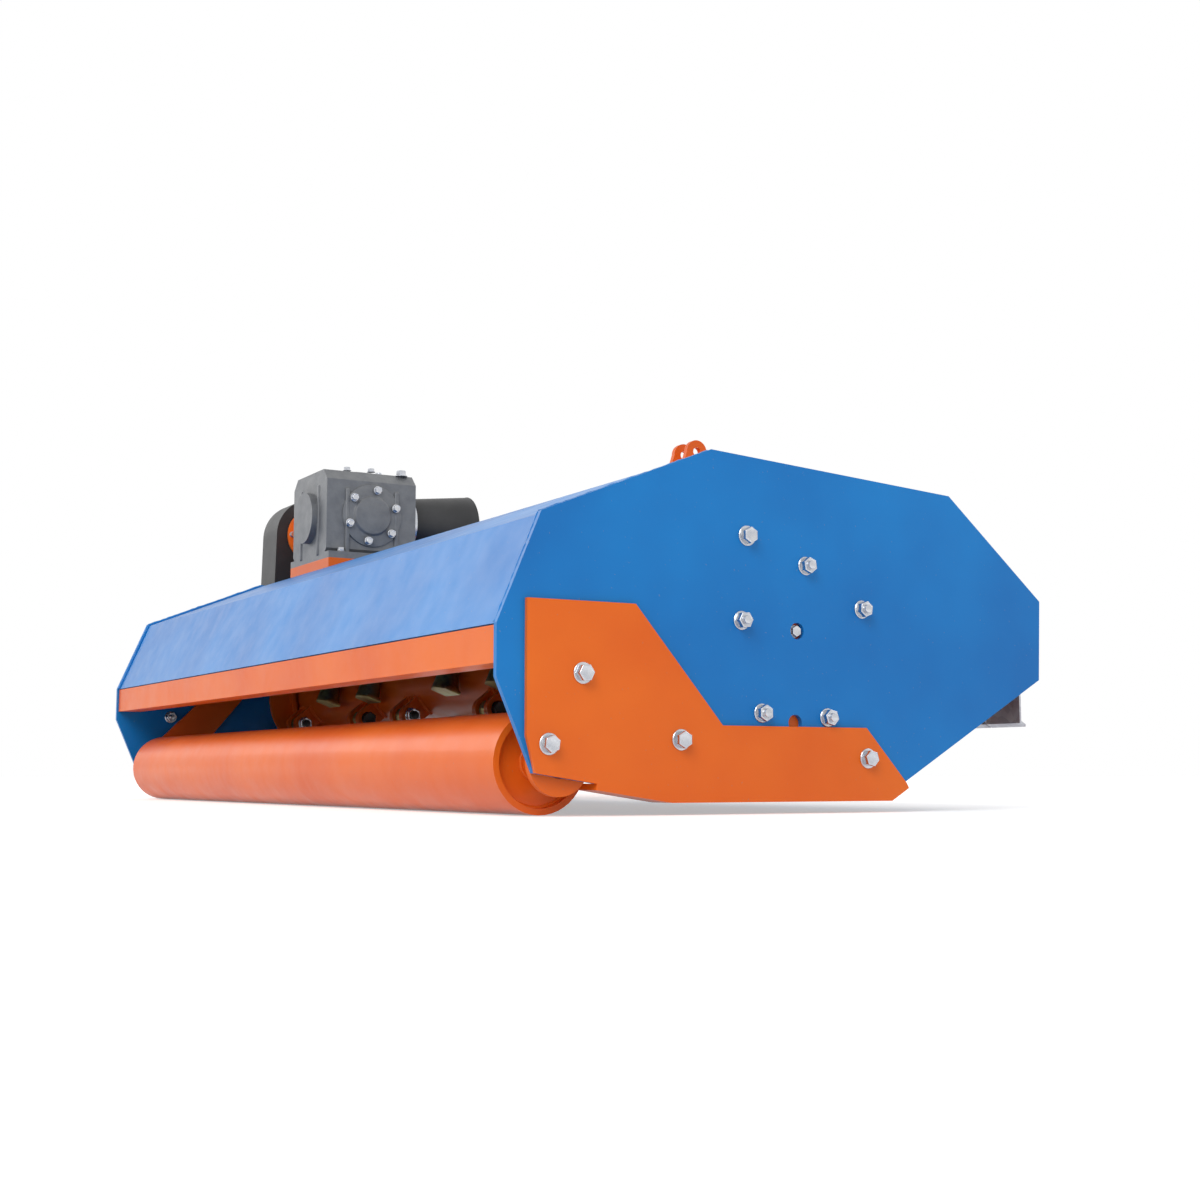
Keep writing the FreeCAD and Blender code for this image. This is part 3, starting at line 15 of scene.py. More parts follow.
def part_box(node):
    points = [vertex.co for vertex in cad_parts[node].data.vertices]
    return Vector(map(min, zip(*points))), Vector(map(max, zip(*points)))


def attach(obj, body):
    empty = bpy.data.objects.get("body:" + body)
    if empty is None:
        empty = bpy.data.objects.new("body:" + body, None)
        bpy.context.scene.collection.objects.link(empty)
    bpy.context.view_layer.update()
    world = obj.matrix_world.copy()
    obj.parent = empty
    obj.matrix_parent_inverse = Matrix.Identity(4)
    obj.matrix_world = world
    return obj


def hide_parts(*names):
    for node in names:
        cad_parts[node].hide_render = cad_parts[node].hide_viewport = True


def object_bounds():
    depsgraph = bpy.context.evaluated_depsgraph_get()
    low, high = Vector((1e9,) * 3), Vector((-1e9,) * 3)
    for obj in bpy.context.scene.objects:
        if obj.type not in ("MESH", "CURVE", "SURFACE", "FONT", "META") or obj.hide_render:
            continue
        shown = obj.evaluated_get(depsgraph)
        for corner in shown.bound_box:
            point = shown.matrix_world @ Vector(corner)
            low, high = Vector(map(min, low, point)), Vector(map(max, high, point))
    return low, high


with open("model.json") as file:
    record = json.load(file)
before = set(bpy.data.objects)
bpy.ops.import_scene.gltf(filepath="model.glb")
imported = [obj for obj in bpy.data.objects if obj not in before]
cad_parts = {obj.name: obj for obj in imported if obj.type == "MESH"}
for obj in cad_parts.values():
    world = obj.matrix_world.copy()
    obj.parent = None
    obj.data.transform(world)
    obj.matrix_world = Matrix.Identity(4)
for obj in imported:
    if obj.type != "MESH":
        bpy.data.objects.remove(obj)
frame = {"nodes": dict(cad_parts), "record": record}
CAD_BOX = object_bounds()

LOG = logging.getLogger("tractor_mulcher")
Piece = bpy.types.Object
Socket = bpy.types.NodeSocket
Flat = tuple[float, float]
Point = tuple[float, float, float]
Colour = tuple[float, float, float]
Row = tuple[int, float, float, float]

UPRIGHT: Point = (0.0, 0.0, 0.0)
ALONG_X: Point = (0.0, math.pi / 2, 0.0)
ALONG_Y: Point = (math.pi / 2, 0.0, 0.0)
HERE: Point = (0.0, 0.0, 0.0)
# How far a seam or a rib sinks into what it stands on.
HAIR = 0.001


class Axis(Enum):
    """The frame's directions."""

    RIGHT = (1.0, 0.0, 0.0)
    LEFT = (-1.0, 0.0, 0.0)
    FORWARD = (0.0, 1.0, 0.0)
    UP = (0.0, 0.0, 1.0)


def corners(node: str) -> tuple[Vector, Vector]:
    """The lowest and the highest corner of a CAD node."""
    low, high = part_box(node)
    return Vector(low), Vector(high)


def on_circle(radius: float, angles: Iterable[float]) -> list[Flat]:
    """Places on a circle round the origin, at angles in degrees."""
    turns = [math.radians(angle) for angle in angles]
    return [(radius * math.cos(turn), radius * math.sin(turn)) for turn in turns]


# ---------------------------------------------------------------- finishes


class NodeSheet:
    """Builds a material's node tree from short calls."""

    def __init__(self, name: str) -> None:
        """Starts an empty material with a shader and object coordinates.

        Args:
            name: The material's name.
        """
        self.material = bpy.data.materials.new(name)
        self.material.use_nodes = True
        self.tree = self.material.node_tree
        self.tree.nodes.clear()
        output = self.tree.nodes.new("ShaderNodeOutputMaterial")
        self.shader = self.tree.nodes.new("ShaderNodeBsdfPrincipled")
        self.link(self.shader.outputs[0], output.inputs[0])
        self.place = self.tree.nodes.new("ShaderNodeTexCoord").outputs["Object"]

    def node(self, kind: str, **settings: object) -> bpy.types.Node:
        """Adds a node.

        Args:
            kind: The node's type name after "ShaderNode".
            settings: Node properties, or input values whose names start with "in_".

        Returns:
            The node.
        """
        made = self.tree.nodes.new("ShaderNode" + kind)
        for key, value in settings.items():
            if key.startswith("in_"):
                made.inputs[key[3:].replace("_", " ")].default_value = value
            else:
                setattr(made, key, value)
        return made

    def link(self, source: Socket, target: Socket) -> None:
        """Joins two sockets."""
        self.tree.links.new(source, target)

    def give(self, value: object, target: Socket) -> None:
        """Links a socket to an input, or sets the input to a number or a colour."""
        if isinstance(value, Socket):
            self.link(value, target)
        else:
            target.default_value = (*value, 1.0) if isinstance(value, tuple) else value

    def wear(self, **looks: object) -> None:
        """Gives the shader its inputs, by their names with underscores for blanks."""
        for name, value in looks.items():
            self.give(value, self.shader.inputs[name.replace("_", " ")])

    def noise(self, scale: float, detail: float = 4.0, roughness: float = 0.55) -> Socket:
        """Noise on object coordinates.

        Args:
            scale: How many waves a metre holds.
            detail: Octaves.
            roughness: How strong the fine octaves are.

        Returns:
            The noise's value socket.
        """
        made = self.node("TexNoise", in_Scale=scale, in_Detail=detail, in_Roughness=roughness)
        self.link(self.place, made.inputs["Vector"])
        return made.outputs["Fac"]

    def band(self, value: Socket, low: float, high: float) -> Socket:
        """A value stretched so that low becomes 0 and high becomes 1, and held between them."""
        made = self.node("MapRange", in_From_Min=low, in_From_Max=high)
        self.link(value, made.inputs["Value"])
        return made.outputs["Result"]

    def ramp(self, value: Socket, stops: Iterable[tuple[float, Colour]]) -> Socket:
        """Colours along a value.

        Args:
            value: Where on the ramp.
            stops: (place, colour) pairs.

        Returns:
            The colour socket.
        """
        made = self.node("ValToRGB")
        elements = made.color_ramp.elements
        stops = list(stops)
        while len(elements) < len(stops):
            elements.new(0.5)
        for element, (place, colour) in zip(elements, stops):
            element.position = place
            element.color = (*colour, 1.0)
        self.link(value, made.inputs["Fac"])
        return made.outputs["Color"]

    def blend(self, amount: Socket, first: object, second: object) -> Socket:
        """Mixes two colours.

        Args:
            amount: 0 for the first and 1 for the second.
            first: A colour or a socket.
            second: A colour or a socket.

        Returns:
            The mixed colour.
        """
        made = self.node("Mix", data_type="RGBA")
        self.link(amount, made.inputs["Factor"])
        for value, name in ((first, "A"), (second, "B")):
            self.give(value, next(i for i in made.inputs if i.name == name and i.type == "RGBA"))
        return next(o for o in made.outputs if o.type == "RGBA")

    def maths(self, operation: str, first: object, second: object) -> Socket:
        """Arithmetic on two values.

        Args:
            operation: Blender's name of the operation.
            first: A number or a socket.
            second: A number or a socket.

        Returns:
            The result's socket.
        """
        made = self.node("Math", operation=operation)
        for value, socket in zip((first, second), made.inputs):
            self.give(value, socket)
        return made.outputs[0]

    def scaled(self, value: Socket, factor: float, base: float) -> Socket:
        """A value times a factor, plus a base."""
        return self.maths("ADD", self.maths("MULTIPLY", value, factor), base)

    def rise(self, height: Socket, distance: float, strength: float = 1.0) -> None:
        """Gives the surface a relief.

        Args:
            height: The relief's value.
            distance: Its depth in metres.
            strength: How far it bends the light.
        """
        bump = self.node("Bump", in_Distance=distance, in_Strength=strength)
        self.link(height, bump.inputs["Height"])
        self.link(bump.outputs["Normal"], self.shader.inputs["Normal"])

    def upward(self) -> Socket:
        """How far the surface faces up, from 0 to 1."""
        split = self.node("SeparateXYZ")
        self.link(self.node("NewGeometry").outputs["Normal"], split.inputs["Vector"])
        return self.band(split.outputs["Z"], 0.2, 1.0)


@dataclass(frozen=True)
class Enamel:
    """Glossy enamel paint over steel, with orange peel, thin dust and rubbed spots."""

    name: str
    colour: Colour
    deep: Colour
    roughness: float = 0.30
    dust: float = 0.06
    peel: float = 0.00012
    speck_colour: Colour = (0.30, 0.27, 0.24)
    dust_colour: Colour = (0.46, 0.41, 0.34)

    def material(self) -> bpy.types.Material:
        """The paint as a material."""
        sheet = NodeSheet(self.name)
        paint = sheet.blend(sheet.band(sheet.noise(3.2, 3.0), 0.35, 0.68), self.deep, self.colour)
        speck = sheet.band(sheet.noise(240.0, 2.0), 0.715, 0.75)
        paint = sheet.blend(sheet.maths("MULTIPLY", speck, 0.25), paint, self.speck_colour)
        drifts = sheet.band(sheet.noise(9.0, 6.0), 0.35, 0.75)
        dusty = sheet.maths("MULTIPLY", sheet.maths("MULTIPLY", sheet.upward(), drifts), self.dust)
        shine = sheet.scaled(sheet.band(sheet.noise(26.0, 5.0), 0.3, 0.8), 0.16, self.roughness)
        sheet.wear(
            Base_Color=sheet.blend(dusty, paint, self.dust_colour),
            Roughness=sheet.maths("ADD", shine, dusty),
            Specular_IOR_Level=0.26, Coat_Weight=0.08, Coat_Roughness=0.12,
        )
        sheet.rise(sheet.noise(420.0, 2.0), self.peel, 0.35)
        return sheet.material


@dataclass(frozen=True)
class BareMetal:
    """Plated, chromed or cast metal."""

    name: str
    colour: Colour
    second: Colour
    roughness: float
    metallic: float = 1.0
    grain: float = 90.0
    relief: float = 0.00008

    def material(self) -> bpy.types.Material:
        """The metal as a material."""
        sheet = NodeSheet(self.name)
        tone = sheet.band(sheet.noise(self.grain, 4.0), 0.32, 0.70)
        worn = sheet.band(sheet.noise(self.grain * 0.4, 5.0), 0.3, 0.75)
        sheet.wear(
            Base_Color=sheet.blend(tone, self.colour, self.second), Metallic=self.metallic,
            Roughness=sheet.scaled(worn, 0.14, self.roughness),
        )
        sheet.rise(sheet.noise(self.grain * 4.0, 3.0), self.relief, 0.5)
        return sheet.material


@dataclass(frozen=True)
class SpangledZinc:
    """Hot-dip galvanised sheet: zinc crystals with a purplish cast."""

    name: str
    flakes: float = 85.0
    cast: Colour = (0.33, 0.30, 0.37)
    greys: tuple[tuple[float, Colour], ...] = (
        (0.0, (0.40, 0.41, 0.44)), (0.45, (0.46, 0.46, 0.50)),
        (0.75, (0.52, 0.54, 0.57)), (1.0, (0.60, 0.62, 0.64)),
    )

    def material(self) -> bpy.types.Material:
        """The zinc as a material."""
        sheet = NodeSheet(self.name)
        crystals = sheet.node("TexVoronoi", in_Scale=self.flakes, in_Randomness=1.0)
        sheet.link(sheet.place, crystals.inputs["Vector"])
        split = sheet.node("SeparateColor")
        sheet.link(crystals.outputs["Color"], split.inputs["Color"])
        clouds = sheet.maths("MULTIPLY", sheet.band(sheet.noise(7.0, 3.0), 0.42, 0.64), 0.55)
        sheet.wear(
            Base_Color=sheet.blend(clouds, sheet.ramp(split.outputs[0], self.greys), self.cast), Metallic=0.9,
            Roughness=sheet.scaled(split.outputs[1], 0.10, 0.28),
        )
        sheet.rise(crystals.outputs["Distance"], 0.00005, 0.12)
        return sheet.material


@dataclass(frozen=True)
class YellowZinc:
    """Yellow passivated zinc on a forging: olive gold with bronze and greenish drifts."""

    name: str
    golds: tuple[tuple[float, Colour], ...] = (
        (0.28, (0.24, 0.13, 0.07)), (0.42, (0.36, 0.27, 0.10)), (0.52, (0.46, 0.40, 0.17)),
        (0.62, (0.40, 0.42, 0.20)), (0.74, (0.52, 0.45, 0.24)),
    )

    def material(self) -> bpy.types.Material:
        """The plating as a material."""
        sheet = NodeSheet(self.name)
        drift = sheet.noise(24.0, 4.0, 0.6)
        rough = sheet.scaled(sheet.noise(60.0), 0.25, 0.24)
        sheet.wear(Base_Color=sheet.ramp(drift, self.golds), Metallic=0.85, Roughness=rough)
        sheet.rise(sheet.noise(190.0, 5.0, 0.65), 0.0006, 0.55)
        return sheet.material


@dataclass(frozen=True)
class Moulded:
    """Moulded plastic or rubber with a fine texture."""

    name: str
    colour: Colour
    roughness: float
    grain: float = 700.0
    relief: float = 0.00015

    def material(self) -> bpy.types.Material:
        """The moulding as a material."""
        sheet = NodeSheet(self.name)
        worn = tuple(min(1.0, value * 1.6 + 0.012) for value in self.colour)
        tone = sheet.band(sheet.noise(11.0, 4.0), 0.4, 0.75)
        rough = sheet.scaled(sheet.noise(30.0), 0.15, self.roughness)
        sheet.wear(Base_Color=sheet.blend(tone, self.colour, worn), Roughness=rough)
        sheet.rise(sheet.noise(self.grain, 2.0), self.relief, 0.6)
        return sheet.material


@dataclass(frozen=True)
class PaleFloor:
    """A plain pale floor that the camera sees nearly white away from the machine's shadow."""

    name: str
    tone: float = 0.82
    lift: float = 0.42
    far_lift: float = 0.62
    near: float = 2.0
    far: float = 7.0

    def material(self) -> bpy.types.Material:
        """The floor as a material."""
        sheet = NodeSheet(self.name)
        shade = sheet.band(sheet.noise(1.4, 2.0), 0.2, 0.8)
        rays = sheet.node("LightPath").outputs
        seen = sheet.maths("MAXIMUM", rays["Is Camera Ray"], rays["Is Glossy Ray"])
        reach = sheet.node("VectorMath", operation="LENGTH")
        sheet.link(sheet.place, reach.inputs[0])
        away = sheet.band(reach.outputs["Value"], self.near, self.far)
        lift = sheet.scaled(away, self.far_lift - self.lift, self.lift)
        sheet.wear(
            Base_Color=sheet.blend(shade, (self.tone,) * 3, (self.tone + 0.01,) * 3), Roughness=0.9,
            Specular_IOR_Level=0.1, Emission_Color=(1.0, 1.0, 1.0),
            Emission_Strength=sheet.maths("MULTIPLY", seen, lift),
        )
        return sheet.material


class Finish(Enum):
    """The machine's finishes, each with the record's material slot that it stands for.

    A CAD node takes the first finish of its slot.
    """

    ORANGE = ("orange_paint", Enamel("orange_enamel", (0.86, 0.165, 0.012), (0.76, 0.115, 0.007)))
    BLUE = ("blue_paint", Enamel("blue_enamel", (0.005, 0.212, 0.60), (0.003, 0.155, 0.49)))
    BLACK = ("black_paint", Enamel("black_enamel", (0.012, 0.012, 0.013), (0.006, 0.006, 0.007), 0.30, 0.05))
    GALVANISED = ("galvanised", SpangledZinc("spangled_zinc"))
    HAMMER = ("hammer_zinc", YellowZinc("yellow_zinc"))
    BRIGHT = ("bright_steel", BareMetal("bright_zinc", (0.48, 0.50, 0.55), (0.62, 0.63, 0.65), 0.20))
    CHROME = (
        "bright_steel",
        BareMetal("hard_chrome", (0.78, 0.79, 0.80), (0.84, 0.84, 0.85), 0.08, relief=0.00001),
    )
    DARK_BOLT = (
        "bright_steel", BareMetal("black_oxide", (0.018, 0.018, 0.019), (0.035, 0.034, 0.034), 0.32, 0.7),
    )
    LEG = ("zinc_grey", BareMetal("dull_zinc", (0.34, 0.36, 0.38), (0.45, 0.47, 0.48), 0.42, 0.8, 30.0))
    CAST = (
        "cast_grey",
        BareMetal("cast_grey", (0.15, 0.155, 0.165), (0.20, 0.205, 0.21), 0.42, 0.25, 40.0, 0.0009),
    )
    PLASTIC = ("black_plastic", Moulded("black_plastic", (0.013, 0.013, 0.014), 0.42))
    HOSE = ("hose_rubber", Moulded("hose_rubber", (0.010, 0.010, 0.011), 0.38, 900.0, 0.0001))
    GREEN = ("black_plastic", Moulded("green_plastic", (0.02, 0.20, 0.09), 0.35))
    FLOOR = ("", PaleFloor("pale_floor"))

    @property
    def slot(self) -> str:
        """The record's material slot."""
        return self.value[0]

    @classmethod
    def of_slot(cls, slot: str) -> "Finish":
        """The first finish that stands for a slot."""
        return next(finish for finish in cls if finish.slot == slot)


class Paintshop:
    """Keeps one material per finish, and lays it on pieces and CAD nodes."""

    CHROMED = ("shift_rod", "tilt_rod")

    def __init__(self) -> None:
        """Starts with no material made."""
        self.made: dict[Finish, bpy.types.Material] = {}

    def lay(self, piece: Piece, finish: Finish) -> None:
        """Gives a piece one finish all over."""
        if finish not in self.made:
            self.made[finish] = finish.value[1].material()
        piece.data.materials.clear()
        piece.data.materials.append(self.made[finish])

    def dress_nodes(self) -> None:
        """Gives each CAD node the finish of its slot, and the cylinders' rods their chrome."""
        slots = {entry["node"]: entry["material_slot"] for entry in frame["record"]["subparts"]}
        for name, node in frame["nodes"].items():
            self.lay(node, Finish.CHROME if name in self.CHROMED else Finish.of_slot(slots[name]))


PAINT = Paintshop()

# ---------------------------------------------------------------- workshop


class Workshop:
    """Operator work that every sub-assembly shares."""

    @staticmethod
    def clear() -> None:
        """Leaves edit mode and deselects everything."""
        if bpy.context.object and bpy.context.object.mode != "OBJECT":
            bpy.ops.object.mode_set(mode="OBJECT")
        bpy.ops.object.select_all(action="DESELECT")

    @classmethod
    def take(cls, piece: Piece) -> None:
        """Makes a piece the only selected one, and the active one."""
        cls.clear()
        piece.select_set(True)
        bpy.context.view_layer.objects.active = piece

    @classmethod
    def fix(cls, piece: Piece, place: Matrix | None = None) -> Piece:
        """Puts a piece's place into its mesh.

        Args:
            piece: The piece.
            place: Where it goes first, if not where it is.

        Returns:
            The piece.
        """
        if place is not None:
            piece.matrix_world = place
        cls.take(piece)
        bpy.ops.object.transform_apply(location=True, rotation=True, scale=True)
        return piece

    @classmethod
    def shape(cls, piece: Piece, kind: str, **settings: object) -> None:
        """Applies a modifier.

        Args:
            piece: The piece.
            kind: The modifier's type.
            settings: Its settings.
        """
        cls.take(piece)
        made = piece.modifiers.new(kind.lower(), kind)
        for key, value in settings.items():
            setattr(made, key, value)
        bpy.ops.object.modifier_apply(modifier=made.name)

    @classmethod
    def bevel(cls, piece: Piece, width: float, segments: int = 2, angle: float = 40.0) -> None:
        """Rounds a piece's sharp edges.

        Args:
            piece: The piece.
            width: The bevel's width in metres.
            segments: Its steps.
            angle: The least edge angle in degrees.
        """
        cls.shape(piece, "BEVEL", width=width, segments=segments, angle_limit=math.radians(angle))

    @classmethod
    @contextmanager
    def edit(cls, piece: Piece) -> Iterator[None]:
        """Edit mode on one piece, with nothing selected at first."""
        cls.take(piece)
        bpy.ops.object.mode_set(mode="EDIT")
        bpy.ops.mesh.select_all(action="DESELECT")
        yield
        bpy.ops.object.mode_set(mode="OBJECT")

    @staticmethod
    def pick(piece: Piece, part: str, wanted: Callable[[object], bool]) -> None:
        """Selects some of a mesh, in edit mode.

        Args:
            piece: The piece.
            part: "verts", "edges" or "faces"; verts take the edges between them along.
            wanted: Says whether one of them is selected.
        """
        bpy.ops.mesh.select_all(action="DESELECT")
        shape = bmesh.from_edit_mesh(piece.data)
        for item in getattr(shape, part):
            item.select_set(wanted(item))
        if part == "verts":
            shape.select_flush_mode()
        bmesh.update_edit_mesh(piece.data)

    @classmethod
    def join(cls, pieces: list[Piece]) -> Piece:
        """Joins one or more pieces into the first one."""
        cls.clear()
        for piece in pieces:
            piece.select_set(True)
        bpy.context.view_layer.objects.active = pieces[0]
        if len(pieces) > 1:
            bpy.ops.object.join()
        return bpy.context.object

    @classmethod
    def spread(cls, template: Piece, spots: list[Matrix]) -> Piece:
        """Copies a template to each spot, each copy with its own mesh, and joins them.

        Args:
            template: The piece that is copied; it is used up.
            spots: Where each copy goes.

        Returns:
            One piece of all the copies.
        """
        copies = []
        for spot in spots:
            copy = template.copy()
            copy.data = template.data.copy()
            bpy.context.collection.objects.link(copy)
            copy.matrix_world = spot @ template.matrix_world
            copies.append(copy)
        bpy.data.objects.remove(template, do_unlink=True)
        cls.clear()
        for copy in copies:
            copy.select_set(True)
        bpy.context.view_layer.objects.active = copies[0]
        bpy.ops.object.transform_apply(location=True, rotation=True, scale=True)
        return cls.join(copies)

    @staticmethod
    def spot(at: Point, axis: Axis | Vector, spin: float = 0.0) -> Matrix:
        """A place and direction for a piece that stands along +Z.

        Args:
            at: The place.
            axis: The direction that its +Z takes.
            spin: A turn about its own +Z, in degrees.

        Returns:
            The matrix.
        """
        towards = Vector(axis.value) if isinstance(axis, Axis) else axis
        turn = towards.to_track_quat("Z", "Y").to_matrix().to_4x4()
        return Matrix.Translation(at) @ turn @ Matrix.Rotation(math.radians(spin), 4, "Z")

    @classmethod
    def drum(
        cls, sides: int, radius: float, depth: float, at: Point = HERE, turn: Point = UPRIGHT,
        width: float = 0.0, segments: int = 2, angle: float = 40.0,
    ) -> Piece:
        """A bar, disc or hexagon with rounded edges.

        Args:
            sides: How many sides it has.
            radius: Its radius.
            depth: Its length.
            at: Its middle.
            turn: Its turn from upright.
            width: Its edges' rounding, if any.
            segments: The rounding's steps.
            angle: The least edge angle that is rounded.

        Returns:
            The drum.
        """
        cls.clear()
        bpy.ops.mesh.primitive_cylinder_add(
            vertices=sides, radius=radius, depth=depth, location=at, rotation=turn,
        )
        made = bpy.context.object
        if width > 0:
            cls.bevel(made, width, segments, angle)
        return made

    @classmethod
    def stack(cls, rows: Iterable[Row], width: float) -> Piece:
        """Drums on one another along +Z.

        Args:
            rows: Each drum's sides, radius, start and height.
            width: Their edges' rounding.

        Returns:
            The stack, with its place in its mesh.
        """
        drums = []
        for sides, radius, low, tall in rows:
            drums.append(cls.drum(sides, radius, tall, (0, 0, low + tall / 2), width=width, angle=25.0))
        return cls.fix(cls.join(drums))

    @classmethod
    def block(
        cls, size: Point, at: Point = HERE, turn: Point = UPRIGHT, width: float = 0.003, segments: int = 3,
    ) -> Piece:
        """A bar with rounded edges.

        Args:
            size: Its length along X, Y and Z.
            at: Its middle.
            turn: Its turn.
            width: Its edges' rounding.
            segments: The rounding's steps.

        Returns:
            The block, with its place in its mesh.
        """
        cls.clear()
        bpy.ops.mesh.primitive_cube_add(size=1.0, location=at, rotation=turn)
        made = bpy.context.object
        made.scale = size
        cls.fix(made)
        cls.bevel(made, width, segments)
        return made

    @classmethod
    def hoop(
        cls, radius: float, thick: float, steps: tuple[int, int], at: Point = HERE, turn: Point = UPRIGHT,
    ) -> Piece:
        """A ring of round wire.

        Args:
            radius: The ring's radius.
            thick: The wire's radius.
            steps: Segments round the ring and round the wire.
            at: Its middle.
            turn: Its turn from lying flat.

        Returns:
            The ring.
        """
        cls.clear()
        bpy.ops.mesh.primitive_torus_add(
            major_radius=radius, minor_radius=thick, major_segments=steps[0], minor_segments=steps[1],
            location=at, rotation=turn,
        )
        return bpy.context.object


def hand_over(piece: Piece, name: str, body: str, finish: Finish, sharp: float = 35.0) -> None:
    """Settles a finished piece, says what it rides on and lays its finish.

    Args:
        piece: The piece.
        name: Its name.
        body: The CAD body it moves with.
        finish: Its finish, which also says the record's slot.
        sharp: The angle in degrees past which an edge stays sharp.
    """
    Workshop.fix(piece)
    bpy.ops.object.shade_smooth_by_angle(angle=math.radians(sharp))
    piece.name = name
    piece.data.name = name
    PAINT.lay(piece, finish)
    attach(piece, body)
    LOG.info("%s rides on %s", name, body)


@dataclass(frozen=True)
class HexFastener:
    """A hexagon bolt head on a washer, or a nut with its stud."""

    across: float
    tall: float
    washer: float
    washer_tall: float = 0.0022
    stud: float = 0.0

    def template(self) -> Piece:
        """The fastener standing along +Z from its washer's face."""
        size = self.across
        low = self.washer_tall
        ring = Workshop.drum(24, self.washer, low, (0, 0, low / 2), width=low * 0.3, segments=1)
        head = Workshop.drum(6, size / math.sqrt(3), self.tall, (0, 0, low + self.tall / 2))
        with Workshop.edit(head):
            Workshop.pick(head, "faces", lambda face: face.normal.z > 0.9)
            bpy.ops.mesh.inset(thickness=size * 0.045, depth=size * 0.03)
            bpy.ops.mesh.inset(thickness=size * 0.05)
            bpy.ops.mesh.inset(thickness=size * 0.02, depth=-size * 0.015)
        Workshop.bevel(head, size * 0.03, 2, 30.0)
        parts = [head, ring]
        if self.stud > 0:
            top = low + self.tall + self.stud / 2 - HAIR
            parts.append(Workshop.drum(16, size * 0.3, self.stud, (0, 0, top), width=size * 0.05))
        return Workshop.join(parts)

    def fit(self, name: str, body: str, spots: list[Matrix], finish: Finish = Finish.BRIGHT) -> None:
        """Fits fasteners of this size as one piece.

        Args:
            name: The piece's name.
            body: The CAD body it rides on.
            spots: Where each fastener sits.
            finish: Its finish.
        """
        hand_over(Workshop.spread(self.template(), spots), name, body, finish, 25.0)


@dataclass
class WeldBead:
    """A rippled fillet weld."""

    leg: float

    def ripple(self, piece: Piece) -> Piece:
        """Gives a bead its uneven skin."""
        texture = bpy.data.textures.new("weld_ripple", "CLOUDS")
        texture.noise_scale = 0.006
        strength = self.leg * 0.45
        Workshop.shape(
            piece, "DISPLACE", texture=texture, texture_coords="LOCAL", strength=strength, mid_level=0.5,
        )
        return piece

    def ring(self, radius: float, at: Point, axis: Axis) -> Piece:
        """A bead round a bar or boss.

        Args:
            radius: The bar's radius.
            at: The bead's centre.
            axis: The bar's direction.

        Returns:
            The bead.
        """
        bead = Workshop.hoop(radius, self.leg * 0.6, (max(36, int(radius * 900)), 8))
        return self.ripple(Workshop.fix(bead, Workshop.spot(at, axis)))

    def run(self, start: Point, end: Point) -> Piece:
        """A straight bead between two points."""
        line = Vector(end) - Vector(start)
        bead = Workshop.drum(8, self.leg * 0.6, line.length)
        with Workshop.edit(bead):
            half = line.length * 0.5
            Workshop.pick(bead, "edges", lambda edge: abs(edge.verts[0].co.z - edge.verts[1].co.z) > half)
            bpy.ops.mesh.subdivide(number_cuts=max(4, min(90, int(line.length / 0.007))))
        middle_of_run = (Vector(start) + Vector(end)) / 2
        return self.ripple(Workshop.fix(bead, Workshop.spot(tuple(middle_of_run), line.normalized())))

    def chain(self, points: list[Point]) -> list[Piece]:
        """Straight beads from each point to the next."""
        return [self.run(start, end) for start, end in zip(points, points[1:])]

    @staticmethod
    def lay(name: str, body: str, beads: list[Piece], finish: Finish = Finish.ORANGE) -> None:
        """Joins beads into one painted piece.

        Args:
            name: The piece's name.
            body: The CAD body it rides on.
            beads: The beads.
            finish: Their paint.
        """
        hand_over(Workshop.join(beads), name, body, finish, 80.0)


# ---------------------------------------------------------------- sub-assemblies

ROTOR_AXIS = Vector((0.66, -0.18, -0.37))
FLOOR_HEIGHT = CAD_BOX[0][2]


def on_deck(x: float, y: float, z: float) -> Point:
    """A point given from the rotor's axis at the deck's middle."""
    return tuple(ROTOR_AXIS + Vector((x, y, z)))


